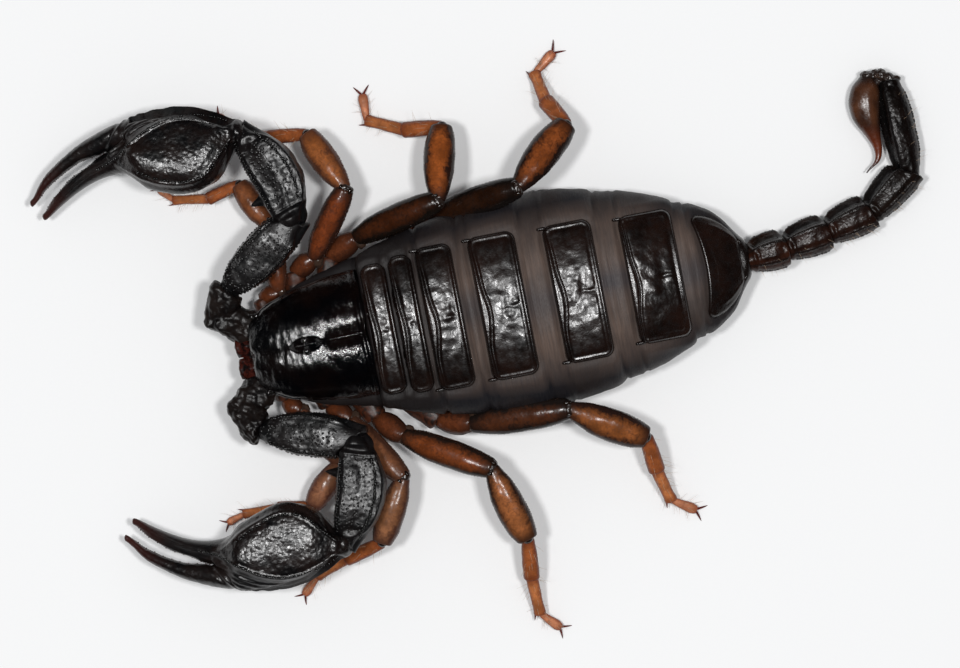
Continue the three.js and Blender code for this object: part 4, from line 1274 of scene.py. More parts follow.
def segmentRelief(side, length, body, far, grainSize, fold=0.0):
    # raised keels along both edges of the upper face, a hollowed face between them
    def lift(point, run):
        bodyEdge, farEdge = palpEdge(point.z, body, length), palpEdge(point.z, far, length)
        reach = abs(point.x) / (bodyEdge if point.x * side > 0 else farEdge)
        inSpan = smooth(0.05, 0.5, point.z) * (1 - smooth(length - 0.75, length - 0.3, point.z))
        upper = smooth(0.1, 0.5, abs(point.y)) * inSpan
        rise = (0.09 * hill(reach, 0.84, 0.07) - 0.05 * (1 - smooth(0.45, 0.78, reach))) * upper
        # and folded along its middle
        halfFace, middle = (bodyEdge + farEdge) / 2, side * (bodyEdge - farEdge) / 2
        rise -= fold * max(0, 0.75 - abs(point.x - middle) / halfFace) * upper
        # the upper face drops away to the joints
        ends = (1 - smooth(-0.1, 0.9, point.z)) * 0.24 + smooth(length - 1.1, length, point.z) * 0.30
        rise -= ends * (0.3 + 0.7 * min(1, reach) ** 2) * smooth(0.05, 0.5, point.y)
        return rise + wobble(point, (0.045, 1.4), (grainSize, 5)) * inSpan
    return lift


def handRelief(palp):
    first, last = handShape["palm"]
    fingerStart, fingerEnd = handShape["fixed"]

    def lift(point, run):
        z, s = point.z, point.x * palp["side"]
        line = keelAt(z)
        if z < last:
            inner = along(palp["palmInner"], (z - first) / (last - first))
        else:
            inner = along(handShape["fixedBack"], (z - fingerStart) / (fingerEnd - fingerStart))
        upper = smooth(0.05, 0.45, abs(point.y))
        onPalm = smooth(-0.1, 0.5, z) * (1 - smooth(5.6, 6.6, z))
        away = s - line
        # the crest of the keel, and the sloping outer face beyond it with its lengthwise ridges
        rise = 0.10 * hill(away, 0, 0.075) * upper * smooth(0, 0.5, z) * (1 - 0.75 * smooth(8, 10.5, z))
        rise -= 0.22 * smooth(0.05, 0.45, away) * upper * onPalm
        if away > 0.1:
            ridges = math.sin(away * 26 + 1.3 * noise.noise(point * 0.8))
            rise += 0.02 * ridges * smooth(0.1, 0.3, away) * smooth(1, 2, z)
        if point.y > 0:
            # the face leans down towards the keel and swells on its inner half
            rise -= palp["lean"] * smooth(min(inner + palp["flat"], line - 0.4), line + 0.2, s) * onPalm
            rise += 0.06 * hill(s, inner + 1.1, 0.8) * hill(z, 2.9, 2.1)
            # the wrist end drops away, and a rise towards the fingers levels the hand
            rise -= 0.26 * (1 - smooth(0.2, 1.7, z)) * onPalm
            levelling = 0.11 * min(max(z - 1.4, 0), 3.6) * (1 - smooth(4.9, 6.2, z))
            rise += levelling * smooth(0.3, 0.8, point.y)
            # a low rim along the inner edge
            rim = 0.07 * hill(s, inner + 0.52, 0.09) - 0.05 * hill(s, inner + 0.32, 0.1)
            rise += rim * upper * onPalm
        return rise + wobble(point, (0.03, 1.4), (0.010, 6)) * onPalm
    return lift


def palpFinish(name, middle, edge, roughness, pebbling, specular, redTip=False, pitted=False):
    material, where = startFinish(name, specular)
    face, run = markOf(where, "face"), markOf(where, "run")
    cloud = noiseOf(where, 0.8, 3, 0.6)
    speck = noiseOf(where, 6, 4, 0.65)
    cells = cellsOf(where, 6.0 if pitted else 3.6)
    colour = blendOf(remap(cloud, 0.38, 0.66), edge, middle)
    colour = blendOf(remap(speck, 0.5, 0.75, 0, 0.5), colour, (0.004, 0.004, 0.004))
    if redTip:
        colour = blendOf(remap(run, 0.82, 1.0), colour, (0.034, 0.007, 0.005))
    # the upper faces are glossier than the outer ones
    rough = remap(face, 0, 1, roughness + 0.08, roughness)
    rough = arithmetic("ADD", rough, remap(speck, 0.3, 0.7, -0.05, 0.08))
    # either low pebbles or small round pits between flat lands
    lands = remap(cells, 0.1, 0.38, 0, 1) if pitted else remap(cells, 0, 0.6, 1, 0)
    bumps = bumpOf(arithmetic("MULTIPLY", lands, remap(face, 0, 1, 0.25, 1)), pebbling, 0.04)
    bumps = bumpOf(remap(cellsOf(where, 8.5), 0, 0.6, 1, 0), 0.12 if pitted else 0.25, 0.02, bumps)
    return endFinish(material, colour, rough, bumpOf(speck, 0.2, 0.02, bumps))


def dressPalp(piece, lift, face, run, finish, place=bodyPlace):
    # the relief, the two marks that the finish reads, and the place in the frame
    sculpt(piece, lift)
    markPoints(piece, "face", face)
    markPoints(piece, "run", run)
    paint(piece, finish)
    putInFrame(piece, place)


def addPalpBase(name, palp, places):
    (coxa, coxaLength), (trochanter, trochanterLength), (femur, _) = places[:3]
    edge, depth = palpShape["baseEdge"], palpShape["baseDepth"]
    first = palpTube(coxaLength - palpShape["coxaTrim"], edge, edge, depth, rows=8, sides=20)
    second = palpTube(trochanterLength, edge, edge, depth, rows=8, sides=20)
    mitre(second, trochanter, trochanterLength, after=femur, gap=0.02)
    for tube, place in ((first, coxa), (second, trochanter)):
        tube.matrix_world = place
        applyPlace(tube)
    base = fuse([first, second], f"palpBase_{name}", voxel=0.07, smoothing=3)
    lumps = ((0.16, 1.5), (0.09, 3.6), (0.03, 8))
    dressPalp(base, lambda p, run: wobble(p, *lumps), lambda p: 0.4, lambda p: 0, baseShell)
    handOver(base, "palp", f"palp_{name}_base")


def addPalpFemur(name, palp, places):
    (place, length), (after, _) = places[2:4]
    side = palp["side"]
    body, far = palpShape["femurBody"], palpShape["femurFar"]
    left, right = (body, far) if side > 0 else (far, body)
    tube = palpTube(length, left, right, palpShape["femurDepth"])
    mitre(tube, place, length, None, after)
    cutBeyond(tube, Vector((0, 0, -0.12)), Vector((0, 0, -1)))
    femur = fuse([tube], f"palpFemur_{name}", voxel=0.065, smoothing=3)
    dressPalp(
        femur, segmentRelief(side, length, body, far, 0.012),
        lambda p: smooth(0.3, 0.7, p.y) * (1 - smooth(length - 0.9, length - 0.6, p.z)),
        lambda p: 0, palpShell, place)
    bodyAt, farAt = edgeLine(body, length, side), edgeLine(far, length, -side)
    spots = beadsOver(
        femur, place, lambda z: bodyAt(z, 0.84), count=26, size=0.075, low=0.25, high=length - 0.7)
    spots += beadsOver(
        femur, place, lambda z: farAt(z, 0.84), count=24, size=0.075, low=0.25, high=length - 0.5)
    for angle in (0, 180):
        spots += beadsAlong(
            femur, place, length, angle, count=24, size=0.07, low=0.05, high=0.9, wander=8)
    spots += grainsOver(
        femur, place, lambda x, z: abs(x) < abs((bodyAt if x * side > 0 else farAt)(z, 0.76)),
        count=90, size=0.042, low=0.3, high=length - 0.75, reach=1.2)
    femur = bringTogether([femur, scatter(bead, spots, grainShell)], f"palpFemur_{name}")
    handOver(femur, "palp", f"palp_{name}_femur")


def addPalpPatella(name, palp, places):
    (before, _), (place, length), (after, _) = places[2:5]
    side = palp["side"]
    elbow, front = palpShape["elbow"], palpShape["elbowFront"]
    left, right = (elbow, front) if side > 0 else (front, elbow)
    tube = palpTube(length, left, right, palpShape["elbowDepth"])
    mitre(tube, place, length, before, after)
    clearSelection()
    outward, up, forward = palpShape["spur"]
    root, tip, height = palpShape["spurCone"]
    bpy.ops.mesh.primitive_cone_add(
        vertices=14, radius1=root, radius2=tip, depth=height,
        location=(-side * outward, up, forward), rotation=(0, -side * math.pi / 2, 0))
    spur = bpy.context.object
    applyPlace(spur)
    pieces = [tube, spur, addKnuckle(*palpShape["elbowBall"])]
    patella = fuse(pieces, f"palpPatella_{name}", voxel=0.06, smoothing=2)
    relief = segmentRelief(side, length, elbow, front, 0.014, palp["fold"])

    def lift(point, run):
        # the neck has a ridge across
        ridge = 0.07 * hill(point.z, 0.55, 0.07) - 0.08 * hill(point.z, 0.32, 0.12)
        return relief(point, run) + ridge * smooth(0.2, 0.6, point.y)

    dressPalp(
        patella, lift, lambda p: smooth(0.35, 0.75, p.y) * smooth(0.5, 0.9, p.z), lambda p: 0,
        elbowShell, place)
    elbowAt, frontAt = edgeLine(elbow, length, 1), edgeLine(front, length, -1)
    spots = beadsOver(
        patella, place, lambda z: side * elbowAt(z, 0.68), count=30, size=0.085, low=0.7, high=length - 0.3)
    spots += beadsOver(
        patella, place, lambda z: side * frontAt(z, 0.82), count=26, size=0.07, low=0.9, high=length - 0.2)
    spots += beadsAlong(
        patella, place, length, 180 if side > 0 else 0, count=22, size=0.065, low=0.35, high=0.98, wander=8)
    spots += grainsOver(
        patella, place, lambda x, z: frontAt(z, 0.75) < x * side < elbowAt(z, 0.62),
        count=60, size=0.035, low=0.7, high=length - 0.2, reach=1.5)
    patella = bringTogether([patella, scatter(bead, spots, grainShell)], f"palpPatella_{name}")
    handOver(patella, "palp", f"palp_{name}_patella")


def addTeeth(piece, place, side, finger):
    low, row, stretch, angle = bite[finger]
    last = bite["count"] - 1
    inner, outer = handShape[finger + "Teeth"], handShape[finger + "Back"]
    teeth = []
    for i in range(bite["count"]):
        z = low + row * i / last
        t = (z - handShape[finger][0]) / stretch
        middle = (side * (along(inner, t) + along(outer, t)) / 2, 0)
        found = surfaceSpot(piece, place, angle if side > 0 else 180 - angle, z, middle)
        if found:
            # every fourth tooth is larger
            teeth.append(beadOn(found, 0.03 if i % 4 else 0.05))
    return scatter(bead, teeth, toothShell)


def fingerTube(side, finger, outer, inner):
    return handTube(
        side, finger, handShape[finger + outer], handShape[finger + inner],
        handShape[finger + "Depth"], handShape["fingerSquareness"])


def addHand(name, palp, places):
    (before, _), (place, length) = places[3:5]
    side, palmInner = palp["side"], palp["palmInner"]
    slant = math.radians(handShape["knuckleSlant"])
    outward, forward = handShape["knuckle"]
    knuckle = Vector((side * outward, 0, forward))
    normal = Vector((side * math.cos(slant), 0, math.sin(slant)))
    palm = handTube(
        side, "palm", handShape["palmOuter"], palmInner, handShape["palmDepth"], handShape["squareness"])
    mitre(palm, place, length, before, gap=0.02)
    cutBeyond(palm, knuckle + normal * 0.1, normal)
    fixed = fingerTube(side, "fixed", "Teeth", "Back")
    pieces = [palm, fixed, addKnuckle(*handShape["wrist"])]
    hand = fuse(pieces, f"palpHand_{name}", voxel=0.06, smoothing=4)
    keelLength = len(handShape["keel"]) - 1

    def faceOf(p):
        away = p.x * side - keelAt(p.z)
        return smooth(0.2, 0.6, p.y) * (1 - smooth(-0.1, 0.1, away)) * (1 - smooth(6.4, 7.4, p.z))

    def fingerRelief(p, run):
        # a ridge and a groove run round the finger's root
        fromKnuckle = (p - knuckle).dot(normal)
        root = 0.05 * hill(fromKnuckle, 0.22, 0.06) - 0.06 * hill(fromKnuckle, 0.38, 0.1)
        return wobble(p, (0.02, 2), (0.012, 5)) + root

    dressPalp(hand, handRelief(palp), faceOf, lambda p: p.z / keelLength, handShell, place)
    movable = fingerTube(side, "movable", "Back", "Teeth")
    cutBeyond(movable, knuckle - normal * 0.35, -normal)
    finger = fuse([movable], f"palpFinger_{name}", voxel=0.06, smoothing=4)
    dressPalp(finger, fingerRelief, lambda p: 0.3, lambda p: p.z / keelLength, handShell, place)

    def innerAt(z):
        first, last = handShape["palm"]
        return along(palmInner, (z - first) / (last - first))

    spots = beadsOver(
        hand, place, lambda z: side * keelAt(z), count=60, size=0.06, low=0.4, high=7.4, wander=0.02)
    spots += beadsOver(
        hand, place, lambda z: side * (innerAt(z) + 0.52), count=30, size=0.085, low=0.6, high=5.2)
    grains = scatter(bead, spots, grainShell)
    hand = bringTogether([hand, grains, addTeeth(hand, place, side, "fixed")], f"palpHand_{name}")
    handOver(hand, "palp", f"palp_{name}_hand")
    finger = bringTogether([finger, addTeeth(finger, place, side, "movable")], f"palpFinger_{name}")
    handOver(finger, "palp", f"palp_{name}_finger")


darkShell = (0.006, 0.0042, 0.0042), (0.002, 0.002, 0.0024)
palpShell = palpFinish("palpShell", *darkShell, roughness=0.29, pebbling=0.8, specular=0.6, pitted=True)
elbowShell = palpFinish("elbowShell", *darkShell, roughness=0.29, pebbling=0.5, specular=0.36, pitted=True)
handShell = palpFinish(
    "handShell", (0.011, 0.006, 0.005), (0.002, 0.0018, 0.0022),
    roughness=0.26, pebbling=0.42, specular=0.54, redTip=True)
baseShell = palpFinish(
    "palpBase", (0.012, 0.0075, 0.006), (0.003, 0.002, 0.002), roughness=0.3, pebbling=0.6, specular=0.28)
grainShell = plainFinish("palpGrain", (0.004, 0.0035, 0.0035), roughness=0.22, specular=0.5)
toothShell = plainFinish("palpTooth", (0.03, 0.008, 0.007), roughness=0.3, specular=0.5)
palpPlaces = {}
for name, palp in palps.items():
    palpPlaces[name] = chain(palp["start"], palpLengths, palp["headings"], palp["pitches"])
    for addPart in (addPalpBase, addPalpFemur, addPalpPatella, addHand):
        addPart(name, palp, palpPlaces[name])


tail = {
    "start": (-0.16, 19.2, 1.9),
    "roll": -62,
    "overrun": 0.25,
    # length, heading, pitch, back, belly, half width, colour of the side, colour of the back
    "rings": (
        (1.92, 94.8, -10, 0.83, 0.8, 0.95, (0.020, 0.006, 0.003), (0.006, 0.004, 0.003)),
        (2.28, 98.6, -7.5, 0.88, 0.76, 0.9, (0.014, 0.0048, 0.0028), (0.005, 0.0045, 0.0045)),
        (2.38, 102.9, -5, 0.94, 0.7, 0.88, (0.014, 0.0052, 0.0032), (0.007, 0.006, 0.006)),
        (2.78, 126.2, -2, 0.88, 0.7, 0.86, (0.0065, 0.0035, 0.0025), (0.0045, 0.004, 0.004)),
        (4.45, -179, -1, 0.66, 0.74, 0.76, (0.0045, 0.0025, 0.002), (0.003, 0.0028, 0.0028)),
    ),
    # angles of the keels round a ring
    "upperKeels": (57, 123),
    "sideKeels": (188, -8),
    "lowerKeels": (236, -56),
}
# how the girth of a ring changes along it
ringShape = {
    "squareness": 2.5,
    "back": (0.55, 0.84, 1.0, 1.02, 0.7),
    "belly": (0.68, 0.86, 0.98, 1.04, 1.0),
    "half": (0.72, 0.9, 1.0, 1.0, 0.92),
}
lastRingShape = {
    "squareness": 2.2,
    "back": (0.5, 0.88, 1.0, 0.96, 0.78),
    "belly": (0.66, 0.95, 1.02, 0.92, 0.6),
    "half": (0.7, 0.96, 1.02, 0.98, 0.78),
}
# place and half sizes of the folds at the last joint, and of the scrap of skin on top of them
tailFolds = (
    ((-7.96, 27.1, 0.95), (0.26, 0.26, 0.3)),
    ((-7.88, 27.46, 1.0), (0.3, 0.27, 0.33)),
    ((-7.68, 27.76, 0.95), (0.27, 0.3, 0.3)),
    ((-7.6, 27.32, 0.7), (0.34, 0.4, 0.36)),
    ((-7.5, 28.05, 0.9), (0.24, 0.3, 0.3)),
)
tailScrap = ((-7.86, 27.28, 1.22), (0.13, 0.2, 0.1))
sting = {
    "start": (-7.95, 26.9, 0.8),
    "length": 4.85,
    "heading": -12.7,
    "middle": (-0.12, -0.2, -0.24, -0.2, -0.03, 0.27, 0.52, 0.5, 0.0),
    "half": (0.35, 0.68, 0.77, 0.75, 0.62, 0.38, 0.21, 0.13, 0.04),
    "folds": (((-0.12, 0.1, 0.0), (0.36, 0.34, 0.24)), ((0.22, 0.18, 0.02), (0.24, 0.22, 0.2))),
}
print("tail")


def ringFinish(name, sideColour, backColour):
    material, where = startFinish(name, 0.2)
    back, keel = markOf(where, "back"), markOf(where, "keel")
    cloud = noiseOf(where, 1.4, 4, 0.6)
    speck = noiseOf(where, 7, 4, 0.65)
    darker, lighter = (tuple(c * share for c in sideColour) for share in (0.45, 1.4))
    colour = blendOf(remap(cloud, 0.35, 0.65), darker, lighter)
    colour = blendOf(back, colour, backColour)
    colour = blendOf(remap(keel, 0.3, 0.9, 0, 0.7), colour, (0.006, 0.005, 0.005))
    bumps = bumpOf(remap(cellsOf(where, 7.5), 0, 0.6, 1, 0), 0.3, 0.02)
    bumps = bumpOf(speck, 0.2, 0.02, bumpOf(cloud, 0.15, 0.06, bumps))
    return endFinish(material, colour, remap(speck, 0.3, 0.7, 0.22, 0.34), bumps)


def nearKeel(point, angles, width, size):
    # 1 on a keel at any of the angles round a ring, falling to 0 beside it; size: back, belly, half width
    back, belly, half = size
    tall = point.y / (back if point.y > 0 else belly)
    angle = math.degrees(math.atan2(tall, point.x / half))
    return max(hill((angle - keel + 180) % 360 - 180, 0, width) for keel in angles)


def ringRelief(length, size):
    def lift(point, run):
        inSpan = smooth(0.1, 0.35, point.z) * (1 - smooth(length - 0.3, length - 0.05, point.z))
        rise = 0.12 * nearKeel(point, tail["upperKeels"], 9, size)
        rise += 0.05 * nearKeel(point, tail["sideKeels"] + tail["lowerKeels"], 6, size)
        # the furrow along the back between the upper keels, the hollow sides
        rise -= 0.15 * nearKeel(point, (90,), 17, size)
        rise -= 0.05 * nearKeel(point, (150, 30), 14, size)
        # a collar where each ring leaves the one before it
        collar = 0.035 * hill(point.z, 0.16, 0.07) - 0.04 * hill(point.z, 0.34, 0.08)
        return rise * inSpan + collar + wobble(point, (0.02, 2.2), (0.008, 6))
    return lift


def lastRingRelief(length, size):
    # one blunt ridge on each side of the back and no side keels
    def lift(point, run):
        inSpan = smooth(0.1, 0.35, point.z) * (1 - smooth(length - 0.3, length - 0.05, point.z))
        rise = 0.16 * nearKeel(point, tail["upperKeels"], 20, size)
        rise += 0.05 * nearKeel(point, tail["lowerKeels"], 6, size)
        return rise * inSpan + wobble(point, (0.02, 2.2), (0.012, 6))
    return lift


def ringBeads(ring, place, length, keels, squareness, size):
    # beads along the keels, which follow the squared outline of the ring, and grains between them
    back, belly, half = size
    spots = []
    for angle in keels:
        a = math.radians(angle)
        across = powered(math.cos(a), squareness) * half
        tall = powered(math.sin(a), squareness) * (back if math.sin(a) > 0 else belly)
        aim = math.degrees(math.atan2(tall, across))
        spots += beadsAlong(
            ring, place, length, aim, count=round(length * 6), size=0.052, low=0.14, high=0.9, wander=2)
    for _ in range(round(length * 30)):
        found = surfaceSpot(ring, place, random.uniform(0, 360), random.uniform(0.12, 0.92) * length)
        if found:
            spots.append(beadOn(found, random.uniform(0.02, 0.035)))
    return scatter(bead, spots, tailGrainShell)


def addTailRing(index, places):
    length, _, _, *size, sideColour, backColour = tail["rings"][index]
    name = f"tailRing{index + 1}"
    last = index == len(places) - 1
    shape = lastRingShape if last else ringShape
    over = tail["overrun"]
    stops = shifted(stations(length + 2 * over, 18), -over)
    up, down, half = (
        tuple(most * value for value in shape[key]) for most, key in zip(size, ("back", "belly", "half")))
    tube = shapedTube(32, stops, (0, 0, half, half, up, down), shape["squareness"])
    place = places[index][0]
    before = places[index - 1][0] if index else None
    after = None if last else places[index + 1][0]
    mitre(tube, place, length, before, after)
    ring = fuse([tube], name, voxel=0.055, smoothing=3)
    sculpt(ring, (lastRingRelief if last else ringRelief)(length, size))
    keels = tail["upperKeels"] + tail["sideKeels"] + tail["lowerKeels"]
    markPoints(ring, "back", lambda p: nearKeel(p, (90,), 34, size))
    markPoints(ring, "keel", lambda p: nearKeel(p, keels, 7, size))
    paint(ring, ringFinish(name, sideColour, backColour))
    putInFrame(ring, place)
    beaded = tail["lowerKeels"] if last else keels
    pieces = [ring, ringBeads(ring, place, length, beaded, shape["squareness"], size)]
    if last:
        # wrinkled folds bridge the gap to the sting
        pieces += [addMembrane(bodyPlace, at, radii, foldShell) for at, radii in tailFolds]
        pieces.append(addMembrane(bodyPlace, *tailScrap, membrane))
    handOver(bringTogether(pieces, name), "tail", f"tail_{index + 1}")


def stingFinish():
    material, where = startFinish("sting", 0.6)
    run, face = markOf(where, "run"), markOf(where, "face")
    cloud = noiseOf(where, 0.9, 3, 0.55)
    speck = noiseOf(where, 6, 4, 0.6)
    colour = blendOf(remap(cloud, 0.35, 0.65), (0.030, 0.011, 0.006), (0.078, 0.028, 0.012))
    # painted shade: darker on the sides and underneath, away from the upper face
    colour = blendOf(remap(face, 0.3, 1.0, 0.9, 0), colour, (0.010, 0.005, 0.004))
    # red along the spine, dark at its tip and at the root of the bulb
    colour = blendOf(remap(run, 0.5, 0.72), colour, (0.11, 0.022, 0.007))
    colour = blendOf(remap(run, 0.82, 0.95), colour, (0.022, 0.006, 0.005))
    colour = blendOf(remap(run, 0.02, 0.1, 1, 0), colour, (0.012, 0.007, 0.006))
    bumps = bumpOf(cloud, 0.5, 0.15, bumpOf(speck, 0.4, 0.03))
    return endFinish(material, colour, remap(speck, 0.3, 0.7, 0.2, 0.36), bumps)


def stingRelief(point, run):
    # faint lengthwise dents on the bulb
    dents = 0.02 * math.sin(math.atan2(point.y, point.x) * 5) + wobble(point, (0.02, 1.8))
    return dents * (1 - smooth(0.45, 0.6, run)) * smooth(0.02, 0.1, run)


def addSting():
    stops = stations(sting["length"], 40, end=((0.015, 0.4),))
    tube = shapedTube(36, stops, (sting["middle"], 0, *(sting["half"],) * 4))
    subdivide(tube, 1)
    sculpt(tube, stingRelief)
    # the upper face, which the finish keeps lighter while it paints shade below it
    markPoints(tube, "face", lambda p: smooth(0.0, 0.6, p.y))
    paint(tube, stingFinish())
    place = placement(sting["start"], sting["heading"], 0)
    putInFrame(tube, place)
    folds = [addMembrane(place, at, radii, foldShell) for at, radii in sting["folds"]]
    handOver(bringTogether([tube, *folds], "sting"), "sting", "telson")


tailGrainShell = plainFinish("tailGrain", (0.007, 0.0035, 0.0025), roughness=0.25, specular=0.3)
lengths, headings, pitches = list(zip(*tail["rings"]))[:3]
tailPlaces = chain(tail["start"], lengths, headings, pitches, tail["roll"])
for index in range(len(tailPlaces)):
    addTailRing(index, tailPlaces)
addSting()


jaw = {
    "length": 1.7,
    "half": (0.5, 0.6, 0.64, 0.5),
    "up": (0.42, 0.5, 0.48, 0.3),
    "down": (0.5, 0.55, 0.5, 0.3),
    "fingers": (-0.2, 0.2),
    "fingerLength": 0.5,
    "fingerSunk": 0.35,
    "outward": 0.6,
    "middle": (-0.08, -4.95, 2.7),
    "heading": -90,
    "splay": 2,
    "dip": -6,
    # folds of dark skin that fill the corner between the jaw, the shield and the palp
    "folds": (((1.28, -5.75, 2.35), (0.42, 0.42, 0.5)), ((1.6, -5.45, 2.3), (0.34, 0.36, 0.4))),
}
sideEyes = {"outward": 1.93, "level": 0.28, "forward": (0.42, 0.64), "radius": 0.14}
breastplate = {
    "start": (-0.1, -5.0, 1.65),
    "length": 5.6,
    "half": (1.5, 2.0, 2.2, 1.6),
    "up": 0.93,
    "down": (0.7, 0.9, 0.9, 0.7),
    "coxaRoots": {"1": (0.5, -4.3, 1.6), "2": (0.5, -3.2, 1.6), "3": (0.6, -1.9, 1.6), "4": (0.8, -0.9, 1.5)},
    "coxaHalf": (0.5, 0.58, 0.66, 0.64, 0.55),
    "seams": (-3.9, -2.7, -1.4),
}
comb = {
    "teeth": 8, "pitch": 0.3, "tooth": 0.62, "bar": 0.5, "thick": 0.5, "root": (0.45, -0.1, 1.1, 0.78),
    "sweep": 25,
}
print("jaws, eyes and underside")


def marbledFinish(name, light, dark, roughness=0.25, specular=0.5):
    material, where = startFinish(name, specular)
    veins = noiseOf(where, 2.6, 4, 0.65, 1.2)
    fine = noiseOf(where, 8, 3, 0.6)
    colour = blendOf(remap(veins, 0.42, 0.56), dark, light)
    return endFinish(material, colour, roughness, bumpOf(fine, 0.3, 0.02))


def jawFinger(x):
    # a short hooked finger, x to one side of the jaw's middle
    def across(t):
        return x * (1 + 0.15 * math.sin(t * math.pi)) - x * 0.4 * t

    def radius(t):
        return 0.24 - 0.17 * t

    stops = shifted(stations(jaw["fingerLength"], 8), jaw["length"] - jaw["fingerSunk"])
    return shapedTube(16, stops, (across, lambda t: -0.1 - 0.5 * t, radius, radius, radius, radius))


def addJaw(sideName, side):
    measures = (0, 0, jaw["half"], jaw["half"], jaw["up"], jaw["down"])
    pieces = [shapedTube(24, stations(jaw["length"], 10), measures)]
    pieces += [jawFinger(x) for x in jaw["fingers"]]
    whole = fuse(pieces, f"jaw_{sideName}", voxel=0.05, smoothing=3)
    roughen(whole, (0.06, 2.2), (0.03, 5))
    paint(whole, jawShell)
    x, y, z = jaw["middle"]
    start = (side * jaw["outward"] + x, y, z)
    putInFrame(whole, placement(start, jaw["heading"] - side * jaw["splay"], jaw["dip"]))
    pieces = [whole]
    for (x, y, z), radii in jaw["folds"]:
        pieces.append(addMembrane(bodyPlace, (side * x - 0.1, y, z), radii, foldShell))
    handOver(bringTogether(pieces, f"jaw_{sideName}"), "jaw", f"chelicera_{sideName}")


def addEyes(sideName, side):
    low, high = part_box(f"eye_median_{sideName}")
    eye = addSphere((low + high) / 2, ((high.z - low.z) / 2,) * 3, 32, 20)
    applyPlace(eye)
    eye.name = f"middleEye_{sideName}"
    paint(eye, eyeGlass)
    handOver(eye, "eye", f"eye_median_{sideName}")
    pair = []
    for forward in sideEyes["forward"]:
        at = (-side * sideEyes["outward"], sideEyes["level"], forward)
        pair.append(addKnob(shieldPlace, at, (sideEyes["radius"],) * 3, eyeGlass))
    handOver(bringTogether(pair, f"sideEyes_{sideName}"), "eye", f"eyes_lateral_{sideName}")


def breastRelief(point, run):
    # narrow seams between the coxae, meeting along the middle underneath
    rise = wobble(point, (0.02, 1.5), (0.01, 4))
    out = abs(point.x + 0.1)
    if point.z < 1.6:
        for y in breastplate["seams"]:
            rise -= 0.09 * hill(point.y - 0.55 * (out - 1), y, 0.08) * smooth(0.35, 0.6, out)
        rise -= 0.08 * hill(out, 0.42, 0.07)
    return rise


def addBreastplate():
    half = breastplate["half"]
    measures = (0, 0, half, half, breastplate["up"], breastplate["down"])
    pieces = [shapedTube(40, stations(breastplate["length"], 16), measures, 3)]
    places = [placement(breastplate["start"], 90, 0)]
    for name, (hip, _, _) in legs.items():
        sideName, number = name.split("_")
        x, y, z = breastplate["coxaRoots"][number]
        root = Vector((x if sideName == "left" else -x, y, z))
        reach = Vector(hip) - root
        half = tuple(value * legSizes[number]["girth"] for value in breastplate["coxaHalf"])
        depth = tuple(value * legShape["depth"] for value in half)
        pieces.append(shapedTube(20, stations(reach.length, 10), (0, 0, half, half, depth, depth), 2.2))
        heading, pitch = math.atan2(reach.y, reach.x), math.asin(reach.z / reach.length)
        places.append(placement(root, math.degrees(heading), math.degrees(pitch)))
    for piece, place in zip(pieces, places):
        piece.matrix_world = place
        applyPlace(piece)
    whole = fuse(pieces, "breastplate", voxel=0.09, smoothing=3)
    sculpt(whole, breastRelief)
    paint(whole, bellyShell)
    putInFrame(whole)
    handOver(whole, "underside", "coxosternum")


def addBlock(middle, size):
    clearSelection()
    bpy.ops.mesh.primitive_cube_add(size=1, location=middle)
    block = bpy.context.object
    block.scale = size
    applyPlace(block)
    return block


def addComb(sideName, side):
    # a flat bar with a row of blunt teeth on its rear edge
    outward, middle, y, z = comb["root"]
    pitch, wide, tooth, thick = comb["pitch"], comb["bar"], comb["tooth"], comb["thick"]
    length = comb["teeth"] * pitch
    place = Matrix.Translation((side * outward + middle, y, z))
    place @= Matrix.Rotation(math.radians(comb["sweep"] if side > 0 else 180 - comb["sweep"]), 4, "Z")
    bar = addBlock((length / 2, side * wide / 2, thick / 2), (length, wide, thick * 0.8))
    row = addBlock(
        (pitch * 0.5, side * (wide + tooth / 2 - 0.1), thick / 2), (pitch * 0.72, tooth + 0.2, thick * 0.7))
    applyModifier(
        row, "ARRAY", count=comb["teeth"], use_relative_offset=False, use_constant_offset=True,
        constant_offset_displace=(pitch, 0, 0))
    for piece in (bar, row):
        applyModifier(piece, "BEVEL", width=0.09, segments=4)
    whole = bringTogether([bar, row], f"comb_{sideName}")
    paint(whole, combShell)
    putInFrame(whole, place)
    handOver(whole, "comb", f"pectine_{sideName}")


jawShell = marbledFinish("jaw", (0.040, 0.007, 0.004), (0.003, 0.0015, 0.0015))
bellyShell = marbledFinish(
    "breastplate", (0.050, 0.014, 0.006), (0.010, 0.005, 0.0035), roughness=0.36, specular=0.25)
combShell = marbledFinish("comb", (0.30, 0.19, 0.12), (0.20, 0.12, 0.07), roughness=0.45)
eyeGlass = plainFinish("eye", (0.008, 0.007, 0.007), roughness=0.05, specular=0.8)
bothSides = ("left", 1), ("right", -1)
for sideName, side in bothSides:
    addJaw(sideName, side)
    addComb(sideName, side)
for sideName, side in bothSides:
    addEyes(sideName, side)
addBreastplate()


hairLooks = {
    "thickness": 0.009,
    "rings": 5,
    "bend": 3.5,  # in thicknesses, as the pattern is stretched along its length
    "patch": 0.003,  # each hair's own small square of the map
    "foot": {"length": 0.62, "lean": 0.9, "count": (16, 20, 16)},
    "palm": {"length": 0.24, "lean": 0.6, "count": 30},
    "tail": {"length": 0.55, "lean": 0.5, "perMm": 9},
}
print("hairs")


